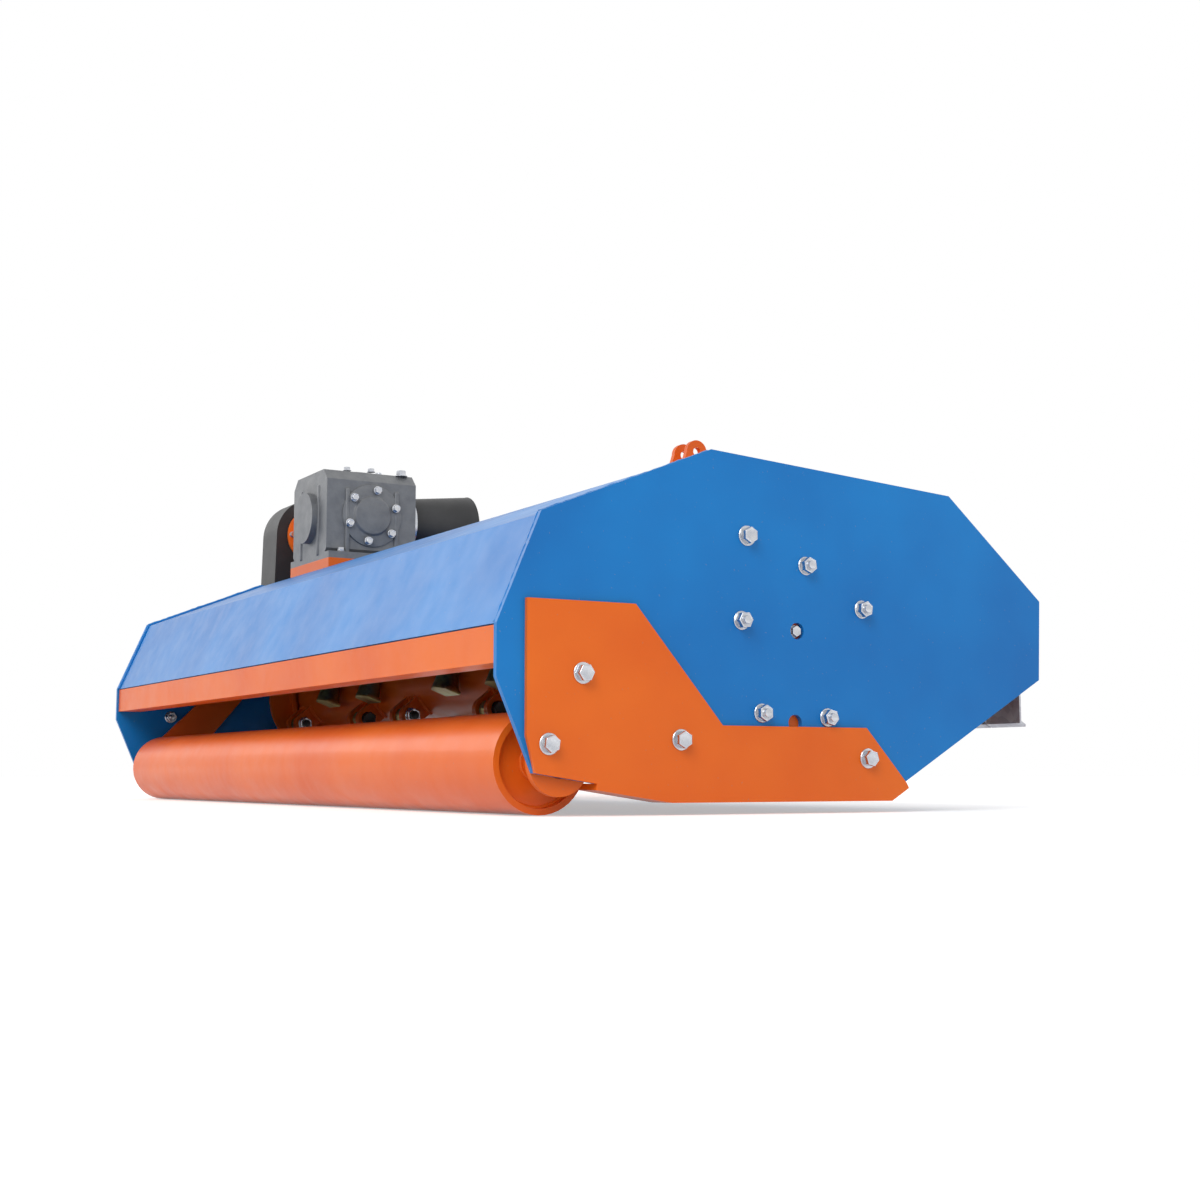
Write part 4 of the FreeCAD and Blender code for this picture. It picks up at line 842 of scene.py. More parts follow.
@dataclass
class Deck:
    """Fasteners, welds and inner bars of the deck's shell."""

    half_inside: float = 0.900
    plate: float = 0.008
    skid_wall: float = 0.006
    flange: float = 0.012
    bracket_wall: float = 0.010
    skid_spots: tuple[Flat, ...] = ((-0.203, -0.128), (0.096, -0.150), (-0.345, -0.048), (-0.392, -0.135))
    nut_spots: tuple[Flat, ...] = ((-0.192, -0.124), (0.128, -0.126), (-0.345, -0.048))
    left_flange_angles: tuple[float, ...] = (156.0, 235.0, 313.0, 20.0, 88.0)
    right_flange_spots: tuple[Flat, ...] = (
        (-0.074, -0.092), (0.033, -0.096), (-0.105, 0.028), (0.094, 0.052), (0.0, 0.106),
    )
    flange_pitch: float = 0.098
    bracket_spot: Flat = (-0.095, 0.140)
    sight_spot: Flat = (-0.015, 0.018)
    roof_line: tuple[Flat, ...] = (
        (0.421, 0.080), (0.253, 0.219), (-0.150, 0.247), (-0.398, 0.148), (-0.457, 0.010),
    )
    chamber_line: tuple[Flat, ...] = ((0.212, 0.010), (0.186, 0.072), (0.160, 0.205))
    cheeks: tuple[float, ...] = (-0.632, -0.620, -0.528, -0.516)
    gussets: tuple[float, ...] = (-0.017, -0.005, 0.039, 0.051)
    rail_ends: Flat = (-0.775, -0.545)
    rails: tuple[Flat, ...] = ((-0.125, -0.065), (0.015, 0.075))
    bars: tuple[Flat, ...] = ((0.181, 0.090), (0.171, 0.150))
    bar_lean: float = -10.0
    bolt: HexFastener = HexFastener(0.019, 0.009, 0.0135)
    low_bolt: HexFastener = HexFastener(0.019, 0.005, 0.0125, 0.0015)
    nut: HexFastener = HexFastener(0.019, 0.010, 0.0125, stud=0.005)
    journal_bolt: HexFastener = HexFastener(0.013, 0.006, 0.0085, 0.0015)

    def side(self, name: str, sign: int, offset: float, places: Iterable[Flat], size: HexFastener) -> None:
        """Bolts on one end plate, pointing outwards, or inwards where their face is inside the deck.

        Args:
            name: The piece's name.
            sign: 1 for the right end and -1 for the left.
            offset: Where the bolts sit, from the plate's inner face; negative inside.
            places: (y, z) of each bolt from the rotor's axis.
            size: The fastener.
        """
        outward = sign if offset >= 0 else -sign
        axis = Axis.RIGHT if outward > 0 else Axis.LEFT
        x = sign * (self.half_inside + offset)
        spots = [Workshop.spot(on_deck(x, y, z), axis, 17.0 * i) for i, (y, z) in enumerate(places)]
        size.fit(name, "deck", spots)

    def fasteners(self) -> None:
        """All bolts of the end plates, outside and inside."""
        skid = self.plate + self.skid_wall
        left_skid = self.skid_spots[:1] + self.skid_spots[2:]
        left_flange = on_circle(self.flange_pitch, self.left_flange_angles)
        right_flange = self.right_flange_spots
        bracket = [self.bracket_spot]
        for name, sign, offset, places, size in (
            ("skid_bolts_right", 1, skid, self.skid_spots, self.bolt),
            ("skid_bolts_left", -1, skid, left_skid, self.bolt),
            ("skid_nuts_left", -1, -0.0001, self.nut_spots, self.nut),
            ("skid_nuts_right", 1, -0.0001, self.nut_spots, self.nut),
            ("flange_nuts_right", 1, self.plate, right_flange, self.nut),
            ("flange_bolts_right", 1, -self.flange, right_flange, self.low_bolt),
            ("flange_bolts_left", -1, -self.flange, left_flange, self.low_bolt),
            ("bracket_bolts_right", 1, self.plate, bracket, self.bolt),
            ("bracket_bolts_left", -1, self.plate, bracket, self.bolt),
            ("bracket_nuts_right", 1, -self.bracket_wall, bracket, self.nut),
            ("bracket_nuts_left", -1, -self.bracket_wall, bracket, self.nut),
            ("sight_hole_bolt", 1, 0.0, [self.sight_spot], self.journal_bolt),
        ):
            self.side(name, sign, offset, places, size)

    def roof_at(self, y: float) -> float:
        """The roof's height over the rotor's axis, between its top fold and its brow."""
        (brow_y, brow_z), (top_y, top_z) = self.roof_line[1], self.roof_line[2]
        return top_z + (brow_z - top_z) * (y - top_y) / (brow_y - top_y) - HAIR

    def welds(self) -> None:
        """Seams of the shell, and round the cheeks, gussets and rails on its roof."""
        bead = WeldBead(0.006)
        seams = []
        for x in (-self.half_inside + HAIR, self.half_inside - HAIR):
            for line in (self.roof_line, self.chamber_line):
                seams += bead.chain([on_deck(x, y, z) for y, z in line])
        bead.lay("roof_seams", "deck", seams, Finish.BLUE)
        foot = [(0.421, 0.079), (0.254, 0.219), (0.115, self.roof_at(0.115))]
        runs = []
        for x in self.cheeks:
            runs += bead.chain([on_deck(x, y, z) for y, z in foot])
        for x in self.gussets:
            runs += bead.chain([on_deck(x, y, z) for y, z in foot[:2]])
        for rail in self.rails:
            back, front = ((y, self.roof_at(y)) for y in rail)
            left, right = self.rail_ends
            for end in (back, front):
                runs.append(bead.run(on_deck(left, *end), on_deck(right, *end)))
            for x in self.rail_ends:
                runs.append(bead.run(on_deck(x, *back), on_deck(x, *front)))
        bead.lay("bracket_welds", "deck", runs)

    def counter_bars(self) -> None:
        """Two long bars across the chamber's front, with rounded edges."""
        size = (2 * self.half_inside - 2 * HAIR, 0.010, 0.012)
        turn = (math.radians(self.bar_lean), 0, 0)
        made = [Workshop.block(size, on_deck(0, y, z), turn, 0.002, 2) for y, z in self.bars]
        hand_over(Workshop.join(made), "counter_bars", "deck", Finish.BLUE)

    def build(self) -> None:
        """Makes all of the deck's dressing."""
        self.fasteners()
        self.welds()
        self.counter_bars()


@dataclass
class Rotor:
    """The forged hammers, their bolts and the lugs' welds."""

    count: int = 24
    pitch: float = 0.073
    pin_reach: float = 0.095
    phase: float = 51.0
    tube: float = 0.065
    lug: float = 0.014
    lug_half_angle: float = 21.0
    eye: float = 0.0160
    eye_half: float = 0.014
    gap: float = 0.002
    order: tuple[str, ...] = ("rear", "up", "front", "rear", "high", "front", "up", "high")
    first: int = 3
    # Each level's height, half width and half depth down a hammer from its pin.
    profile: tuple[Point, ...] = (
        (0.006, 0.0137, 0.0150), (-0.018, 0.0128, 0.0138), (-0.038, 0.0122, 0.0102),
        (-0.060, 0.0140, 0.0116), (-0.078, 0.0206, 0.0160), (-0.0930, 0.0290, 0.0214),
        (-0.0985, 0.0300, 0.0220), (-0.1040, 0.0300, 0.0216),
    )
    head: HexFastener = HexFastener(0.024, 0.010, 0.0135, 0.001)
    end_head: HexFastener = HexFastener(0.024, 0.006, 0.0135, 0.001)
    nut: HexFastener = HexFastener(0.024, 0.009, 0.0145, 0.002)
    # The bolt's end past its nut: radius, length, and its middle's height over the lug.
    bolt_end: Point = (0.0079, 0.006, 0.0135)

    def stations(self) -> list[Flat]:
        """Each hammer's place along the tube from the deck's middle, and its row's angle in degrees."""
        rows = enumerate(("rear", "front", "high", "up"))
        turns = {name: 90 * quarter - self.phase for quarter, name in rows}
        start = -(self.count - 1) / 2 * self.pitch
        dealt = [turns[self.order[(i + self.first) % len(self.order)]] for i in range(self.count)]
        return [(start + i * self.pitch, row) for i, row in enumerate(dealt)]

    def pin(self, x: float, row: float) -> Vector:
        """The middle of the pin of a hammer at x in a row."""
        reach = Matrix.Rotation(math.radians(row), 4, "X") @ Vector((0, 0, -self.pin_reach))
        return ROTOR_AXIS + Vector((x, 0, 0)) + reach

    def hanging(self, row: float) -> float:
        """The angle from straight down at which a hammer rests, free or leaning on the tube.

        Args:
            row: The row's angle in degrees.

        Returns:
            The angle in degrees.
        """
        reach, half_head, near = 0.080, 0.0225, self.tube + 0.003
        shoulder = math.hypot(reach, half_head)
        tilt = math.degrees(math.atan2(half_head, reach))
        cosine = (self.pin_reach**2 + shoulder**2 - near**2) / (2 * self.pin_reach * shoulder)
        least = tilt + math.degrees(math.acos(cosine))
        inward = (row + 360) % 360 - 180
        if abs(inward) >= least:
            return 0.0
        return inward - math.copysign(least, inward)

    def forging(self) -> Piece:
        """One hammer hanging along -Z, with a round eye, a ridged waist and a flared head."""
        level, wide, deep = self.profile[0]
        Workshop.clear()
        bpy.ops.mesh.primitive_plane_add(size=2.0, location=(0, 0, level))
        body = bpy.context.object
        body.scale = (wide, deep, 1)
        Workshop.fix(body)
        with Workshop.edit(body):
            bpy.ops.mesh.select_all(action="SELECT")
            bpy.ops.mesh.subdivide(number_cuts=1)
            for lower, half_wide, half_deep in self.profile[1:]:
                bpy.ops.mesh.extrude_region_move(TRANSFORM_OT_translate={"value": (0, 0, lower - level)})
                scale = (half_wide / wide, half_deep / deep, 1.0)
                bpy.ops.transform.resize(value=scale, center_override=(0, 0, lower))
                level, wide, deep = lower, half_wide, half_deep
            bpy.ops.mesh.select_all(action="SELECT")
            bpy.ops.mesh.normals_make_consistent(inside=False)
            self.draw_out(body)
            self.sharpen(body)
        Workshop.shape(body, "SUBSURF", levels=2, render_levels=2)
        eye = Workshop.drum(32, self.eye, 2 * self.eye_half, turn=ALONG_X)
        Workshop.bevel(Workshop.fix(eye), 0.0022, 3)
        return Workshop.join([body, eye])

    @staticmethod
    def draw_out(body: Piece) -> None:
        """Draws out the neck's ridge and the sole's point, and draws in the corners and the neck."""
        moves: tuple[tuple[Callable[[Vector], bool], Point], ...] = (
            (lambda v: abs(v.x) < 0.0005 and abs(v.y) > 0.004 and -0.080 < v.z < -0.030, (1.0, 1.42, 1.0)),
            (lambda v: abs(v.x) < 0.0005 and v.y < -0.004 and v.z < -0.090, (1.0, 1.12, 1.0)),
            (lambda v: abs(v.x) > 0.020 and v.y < -0.004 and v.z < -0.090, (1.0, 0.48, 1.0)),
            (lambda v: abs(v.x) > 0.010 and abs(v.y) < 0.001 and -0.090 < v.z < -0.050, (0.90, 1.0, 1.0)),
        )
        for wanted, scale in moves:
            Workshop.pick(body, "verts", lambda vert: wanted(vert.co))
            bpy.ops.transform.resize(value=scale, center_override=HERE)

    @staticmethod
    def sharpen(body: Piece) -> None:
        """Creases the sole's rim, its corners, the neck's ridge and the head's edge."""
        creases: tuple[tuple[Callable[[Vector], bool], float], ...] = (
            (lambda v: v.z < -0.102 and not (abs(v.x) < 0.001 and abs(v.y) < 0.001), 0.95),
            (lambda v: (abs(v.x) > 0.028) == (abs(v.y) > 0.001) and abs(v.y) > 0.009 and v.z < -0.096, 0.85),
            (lambda v: abs(v.x) < 0.0005 and abs(v.y) > 0.010 and -0.086 < v.z < -0.030, 0.75),
            (lambda v: -0.100 < v.z < -0.097 and not (abs(v.x) < 0.001 and abs(v.y) < 0.001), 0.70),
        )
        for wanted, sharpness in creases:
            Workshop.pick(body, "verts", lambda vert: wanted(vert.co))
            bpy.ops.transform.edge_crease(value=sharpness)

    def hammers(self) -> None:
        """All hammers in their rest places, standing for the CAD ones."""
        spots = []
        for x, row in self.stations():
            turn = Matrix.Rotation(math.radians(self.hanging(row)), 4, "X")
            spots.append(Matrix.Translation(self.pin(x, row)) @ turn)
        piece = Workshop.spread(self.forging(), spots)
        hand_over(piece, "forged_hammers", "rotor", Finish.HAMMER, 50.0)
        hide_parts("hammers")

    def bolts(self) -> None:
        """A head on one end of each hammer's bolt and a nut with its stud on the other, turn about."""
        heads, nuts = [], []
        face = self.eye_half + self.gap + self.lug
        for i, (x, row) in enumerate(self.stations()):
            out = Vector((face if i % 2 else -face, 0, 0))
            towards, away = (Axis.RIGHT, Axis.LEFT) if i % 2 else (Axis.LEFT, Axis.RIGHT)
            heads.append(Workshop.spot(tuple(self.pin(x, row) + out), towards, 11.0 * i))
            nuts.append(Workshop.spot(tuple(self.pin(x, row) - out), away, 23.0 * i))
        self.head.fit("hammer_bolt_heads", "rotor", heads[1:-1], Finish.DARK_BOLT)
        self.end_head.fit("end_bolt_heads", "rotor", [heads[0], heads[-1]], Finish.DARK_BOLT)
        self.nut.fit("hammer_nuts", "rotor", nuts)
        radius, long, height = self.bolt_end
        stud = Workshop.drum(20, radius, long, (0, 0, height), width=0.0012)
        hand_over(Workshop.spread(stud, nuts), "hammer_bolt_ends", "rotor", Finish.DARK_BOLT)

    def lug_welds(self) -> None:
        """A curved bead on both faces of each lug, round the tube."""
        arc = Workshop.fix(Workshop.hoop(self.tube, 0.0042, (72, 8), turn=ALONG_X))
        reach = math.radians(self.lug_half_angle)
        with Workshop.edit(arc):
            Workshop.pick(arc, "verts", lambda vert: abs(math.atan2(vert.co.y, -vert.co.z)) > reach)
            bpy.ops.mesh.delete(type="VERT")
            bpy.ops.mesh.select_all(action="DESELECT")
            bpy.ops.mesh.select_mode(type="EDGE")
            bpy.ops.mesh.select_non_manifold()
            bpy.ops.mesh.edge_face_add()
            bpy.ops.mesh.select_mode(type="VERT")
        WeldBead(0.006).ripple(arc)
        near = self.eye_half + self.gap
        far = near + self.lug
        spots = []
        for x, row in self.stations():
            turn = Matrix.Rotation(math.radians(row), 4, "X")
            for offset in (-far - HAIR, far + HAIR, -near + HAIR, near - HAIR):
                spots.append(Matrix.Translation(ROTOR_AXIS + Vector((x + offset, 0, 0))) @ turn)
        hand_over(Workshop.spread(arc, spots), "lug_welds", "rotor", Finish.ORANGE, 80.0)

    def build(self) -> None:
        """Makes all of the rotor's dressing."""
        self.hammers()
        self.bolts()
        self.lug_welds()


@dataclass
class Roller:
    """Weld rings at the roller's recessed ends."""

    place: Point = (0.66, -0.55, -0.527)
    half: float = 0.850
    axle: float = 0.020
    recess: float = 0.012
    inner: float = 0.057

    def build(self) -> None:
        """Makes the rings round the axles and the end discs."""
        bead = WeldBead(0.005)
        x, y, z = self.place
        rings = []
        for face in (x - self.half + self.recess, x + self.half - self.recess):
            for radius in (self.axle + HAIR, self.inner - HAIR):
                rings.append(bead.ring(radius, (face, y, z), Axis.RIGHT))
        bead.lay("roller_end_welds", "roller", rings)


@dataclass
class Drive:
    """Covers, ribs and screws of the gearbox, the shaft guard and the belt cover."""

    gear_y: float = -0.205
    gear_half: float = 0.100
    gear_tall: float = 0.095
    gear_back: float = -0.305
    feet_x: float = 0.107
    feet_y: float = 0.070
    feet_top: float = -0.081
    lid_thick: float = 0.008
    # The top lid's, then the side lid's.
    lid_radii: Flat = (0.062, 0.066)
    lid_pitches: Flat = (0.052, 0.055)
    flank_rib: Point = (0.012, 0.010, 0.140)
    flank_rib_spot: Flat = (0.055, -0.015)
    back_rib: Point = (0.010, 0.014, 0.150)
    back_rib_spot: Flat = (0.050, -0.010)
    back_rib_sunk: float = 0.004
    breather: Flat = (0.078, 0.075)
    # Each ring's place along the guard, its radius and its wire's radius; the clamp's with its width.
    rings: tuple[Point, ...] = ((0.0575, 0.0735, 0.0022), (-0.012, 0.0650, 0.0016), (-0.055, 0.0608, 0.0016))
    clamp: Point = (-0.088, 0.0606, 0.012)
    clamp_wall: float = 0.0025
    stub_radius: float = 0.0174
    stub_long: float = 0.080
    stub_y: float = 0.0105
    ridge: float = 0.0004
    tube_ends: tuple[tuple[float, int], ...] = ((-0.1285, 1), (-0.2465, -1))
    tube_radius: float = 0.062
    tube_pitch: float = 0.053
    tube_thick: float = 0.010
    cover_x: float = -0.349
    low_radius: float = 0.120
    top_radius: float = 0.085
    panel_inset: float = 0.020
    panel_proud: float = 0.0045
    rim_inset: float = 0.010
    low_angles: tuple[float, ...] = (190, 225, 260, 295, 330)
    top_angles: tuple[float, ...] = (15, 90, 165)
    waist: tuple[Flat, ...] = ((-0.102, -0.200), (0.084, -0.200))
    lid_screw: HexFastener = HexFastener(0.013, 0.006, 0.009, 0.0016)
    foot_bolt: HexFastener = HexFastener(0.013, 0.007, 0.0085, 0.0016)
    breather_cap: HexFastener = HexFastener(0.019, 0.010, 0.0135)
    tube_screw: HexFastener = HexFastener(0.010, 0.005, 0.0065, 0.0012)
    cover_screw: HexFastener = HexFastener(0.010, 0.005, 0.0075, 0.0012)

    def gearbox_lids(self) -> None:
        """A round lid on the gearbox's top and one on its right side, each with a raised rim."""
        top, side = self.lid_radii
        lids = []
        for at, axis, radius in (
            ((0.0, self.gear_y, self.gear_tall), Axis.UP, top),
            ((self.gear_half, self.gear_y, 0.0), Axis.RIGHT, side),
        ):
            lid = Workshop.drum(56, radius, self.lid_thick)
            with Workshop.edit(lid):
                Workshop.pick(lid, "faces", lambda face: face.normal.z > 0.9)
                bpy.ops.mesh.inset(thickness=radius * 0.36)
                bpy.ops.mesh.inset(thickness=0.003, depth=0.005)
            Workshop.bevel(lid, 0.0015)
            lids.append(Workshop.fix(lid, Workshop.spot(at, axis)))
        hand_over(Workshop.join(lids), "gearbox_lids", "deck", Finish.CAST)

    def gearbox_ribs(self) -> None:
        """Cast ribs on the gearbox's flanks and back."""
        ribs = []
        out, z = self.flank_rib_spot
        for sign in (-1, 1):
            for offset in (-out, out):
                at = (sign * (self.gear_half - HAIR), self.gear_y + offset, z)
                ribs.append(Workshop.block(self.flank_rib, at))
        out, z = self.back_rib_spot
        for offset in (-out, out):
            ribs.append(Workshop.block(self.back_rib, (offset, self.gear_back + self.back_rib_sunk, z)))
        hand_over(Workshop.join(ribs), "gearbox_ribs", "deck", Finish.CAST)

    def gearbox_bolts(self) -> None:
        """Bolts of the lids and the feet, with a breather."""
        top, side = self.lid_pitches
        spots = []
        turns = [60.0 * i + 20 for i in range(6)]
        for i, ((x, y), (across, up)) in enumerate(zip(on_circle(top, turns), on_circle(side, turns))):
            lid = (x, self.gear_y + y, self.gear_tall + self.lid_thick)
            flank = (self.gear_half + self.lid_thick, self.gear_y + across, up)
            spots += [Workshop.spot(lid, Axis.UP, 13.0 * i), Workshop.spot(flank, Axis.RIGHT, 13.0 * i)]
        self.lid_screw.fit("lid_screws", "deck", spots)
        feet = []
        for sign in (-1, 1):
            for offset in (-self.feet_y, self.feet_y):
                at = (sign * self.feet_x, self.gear_y + offset, self.feet_top)
                feet.append(Workshop.spot(at, Axis.UP, 31.0 * offset))
        self.foot_bolt.fit("gearbox_foot_bolts", "deck", feet)
        x, back = self.breather
        breather = Workshop.spot((x, self.gear_y + back, self.gear_tall - HAIR), Axis.UP)
        self.breather_cap.fit("gearbox_breather", "deck", [breather])

    def guard_rings(self) -> None:
        """A rolled lip and two ribs on the input guard, and its clamp."""
        rings = [Workshop.hoop(wide, thick, (64, 10), (0, y, 0), ALONG_Y) for y, wide, thick in self.rings]
        hand_over(Workshop.join(rings), "guard_rings", "deck", Finish.PLASTIC)
        y, radius, wide = self.clamp
        Workshop.clear()
        bpy.ops.mesh.primitive_cylinder_add(
            vertices=64, radius=radius, depth=wide, location=(0, y, 0), rotation=ALONG_Y,
            end_fill_type="NOTHING",
        )
        band = Workshop.fix(bpy.context.object)
        Workshop.shape(band, "SOLIDIFY", thickness=self.clamp_wall)
        Workshop.bevel(band, 0.0006, 1)
        hand_over(band, "guard_clamp", "deck", Finish.BRIGHT)

    def splines(self) -> None:
        """Ridges round the input stub's front."""
        stub = Workshop.fix(Workshop.drum(48, self.stub_radius, self.stub_long, (0, self.stub_y, 0), ALONG_Y))
        with Workshop.edit(stub):
            shape = bmesh.from_edit_mesh(stub.data)
            sides = [face for face in shape.faces if abs(face.normal.y) < 0.5]
            sides.sort(key=lambda face: math.atan2(face.calc_center_median().z, face.calc_center_median().x))
            for i, face in enumerate(sides):
                face.select_set(i % 4 < 2)
            bmesh.update_edit_mesh(stub.data)
            bpy.ops.mesh.extrude_region_shrink_fatten(TRANSFORM_OT_shrink_fatten={"value": self.ridge})
        hand_over(stub, "input_splines", "deck", Finish.BRIGHT, 20.0)

    def tube_flanges(self) -> None:
        """Bolted flanges at both ends of the cross tube."""
        discs, spots = [], []
        for x, sign in self.tube_ends:
            disc = Workshop.drum(56, self.tube_radius, self.tube_thick, (x, self.gear_y, 0), ALONG_X)
            Workshop.fix(disc)
            Workshop.bevel(disc, 0.002)
            discs.append(disc)
            for y, z in on_circle(self.tube_pitch, range(0, 360, 60)):
                at = (x - sign * self.tube_thick / 2, self.gear_y + y, z)
                spots.append(Workshop.spot(at, Axis.LEFT if sign > 0 else Axis.RIGHT))
        hand_over(Workshop.join(discs), "cross_tube_flanges", "deck", Finish.ORANGE)
        self.tube_screw.fit("cross_tube_screws", "deck", spots)

    def belt_cover(self) -> None:
        """A pressed panel and screws on the belt cover's outer face."""
        low = (self.cover_x, ROTOR_AXIS.y, ROTOR_AXIS.z)
        top = (self.cover_x, self.gear_y, 0.0)
        rims = []
        for at, radius in ((low, self.low_radius), (top, self.top_radius)):
            Workshop.clear()
            inner = radius - self.panel_inset
            bpy.ops.mesh.primitive_circle_add(vertices=64, radius=inner, location=at, rotation=ALONG_X)
            rims.append(bpy.context.object)
        panel = Workshop.fix(Workshop.join(rims))
        with Workshop.edit(panel):
            bpy.ops.mesh.select_all(action="SELECT")
            bpy.ops.mesh.convex_hull()
            bpy.ops.mesh.select_all(action="SELECT")
            bpy.ops.mesh.dissolve_limited(angle_limit=math.radians(1))
            bpy.ops.mesh.select_all(action="SELECT")
            bpy.ops.mesh.extrude_region_move(TRANSFORM_OT_translate={"value": (-self.panel_proud, 0, 0)})
            bpy.ops.mesh.select_all(action="SELECT")
            bpy.ops.mesh.remove_doubles(threshold=0.00001)
            bpy.ops.mesh.normals_make_consistent(inside=False)
        Workshop.bevel(panel, 0.003, 3)
        hand_over(panel, "belt_cover_panel", "deck", Finish.PLASTIC)
        spots = []
        for (x, y, z), radius, angles in (
            (low, self.low_radius, self.low_angles), (top, self.top_radius, self.top_angles),
        ):
            for angle, (back, up) in zip(angles, on_circle(radius - self.rim_inset, angles)):
                spots.append(Workshop.spot((x, y + back, z + up), Axis.LEFT, 2.0 * angle))
        for back, z in self.waist:
            spots.append(Workshop.spot((self.cover_x, low[1] + back, z), Axis.LEFT, 10.0))
        self.cover_screw.fit("belt_cover_screws", "deck", spots)

    def build(self) -> None:
        """Makes all of the drive's dressing."""
        self.gearbox_lids()
        self.gearbox_ribs()
        self.gearbox_bolts()
        self.guard_rings()
        self.splines()
        self.tube_flanges()
        self.belt_cover()


def headed_pin(at: Point, axis: Axis, long: float, radius: float, head: float) -> Piece:
    """A pin with a chamfered head at its start and a washer and split pin near its end.

    Args:
        at: Where the pin starts.
        axis: Its direction.
        long: Its length.
        radius: Its radius.
        head: Its head's radius.

    Returns:
        The pin.
    """
    parts = []
    for size, start, tall in ((radius, 0.0, long), (head, -0.006, 0.006), (head * 0.92, long - 0.012, 0.003)):
        parts.append(Workshop.drum(32, size, tall, (0, 0, start + tall / 2), width=min(tall * 0.3, 0.0015)))
    parts.append(Workshop.drum(12, 0.0018, radius * 3.2, (0, 0, long - 0.006), ALONG_Y))
    return Workshop.fix(Workshop.fix(Workshop.join(parts)), Workshop.spot(at, axis))


def arm_line(node: str) -> tuple[Vector, Vector, Vector, Vector]:
    """Where an arm runs, seen from above.

    Args:
        node: The arm's CAD node.

    Returns:
        Its front pin, its rear pin, and the level directions along it and across it.
    """
    boss = 0.040
    low, high = corners(node)
    front = Vector((low.x + boss, high.y - boss, 0))
    rear = Vector((high.x - boss, low.y + boss, 0))
    along = (rear - front).normalized()
    return front, rear, along, Vector((-along.y, along.x, 0))


@dataclass
class Linkage:
    """Pins, caps and welds of the arms, the carrier and the tilt pivot."""

    horn_front: float = 0.376
    boss: float = 0.027
    eye: float = 0.028
    foot_top: float = -0.098
    arm_side: float = 0.0395
    arm_span: Flat = (-0.283, -0.197)
    boss_weld: float = 0.041
    boss_ends: Flat = (-0.195, -0.285)
    # The tilt pin's length, its radius and its head's radius.
    tilt_pin: Point = (0.0595, 0.0124, 0.019)
    cap: HexFastener = HexFastener(0.024, 0.012, 0.018, 0.003)
    eye_head: HexFastener = HexFastener(0.024, 0.010, 0.019, 0.003)
    foot_cap: HexFastener = HexFastener(0.022, 0.010, 0.019, 0.003)

    def pin_caps(self) -> None:
        """A locking plate and bolt on each arm pin's head."""
        for node, body in (("head_pins", "headstock"), ("carrier_pins", "carrier")):
            low, high = corners(node)
            y = (low.y + high.y) / 2
            places = (low.x + self.boss, high.x - self.boss)
            spots = [Workshop.spot((x, y, high.z), Axis.UP, 20.0) for x in places]
            self.cap.fit(f"{node}_bolts", body, spots)

    def cylinder_pins(self) -> None:
        """Heads of the pins at the cylinders' eyes, each on the body that it stays with."""
        low, high = corners("shift_rod")
        eye = (high.x - self.eye, low.y + self.eye, high.z)
        self.eye_head.fit("shift_rod_pin", "shift_rod", [Workshop.spot(eye, Axis.UP, 20.0)])
        low, high = corners("tilt_rod")
        x, z = low.x + self.eye, high.z - self.eye
        pin = headed_pin((x, low.y, z), Axis.FORWARD, *self.tilt_pin)
        hand_over(pin, "tilt_rod_pin", "tilt_rod", Finish.BRIGHT)
        nut = Workshop.spot((x, self.horn_front, z), Axis.FORWARD, 10.0)
        self.eye_head.fit("horn_pin_nut", "carrier", [nut])
        low, high = corners("shift_barrel")
        foot = Workshop.spot((low.x + self.eye, high.y - self.eye, self.foot_top), Axis.UP, 15.0)
        self.foot_cap.fit("shift_foot_cap", "headstock", [foot])

    def welds(self) -> None:
        """Welds where the arms' tubes meet their bosses."""
        bead = WeldBead(0.007)
        for node, body in (("arm_left", "left_arm"), ("arm_right", "right_arm")):
            front, rear, along, across = arm_line(node)
            beads = []
            for end, towards in ((front, 1), (rear, -1)):
                for sign in (-1, 1):
                    side = end + along * towards * HAIR + across * sign * self.arm_side
                    bottom, top = ((side.x, side.y, z) for z in self.arm_span)
                    beads.append(bead.run(bottom, top))
                beads += [bead.ring(self.boss_weld, (end.x, end.y, z), Axis.UP) for z in self.boss_ends]
            bead.lay(f"{node}_welds", body, beads)

    def build(self) -> None:
        """Makes all of the linkage's dressing."""
        self.pin_caps()
        self.cylinder_pins()
        self.welds()


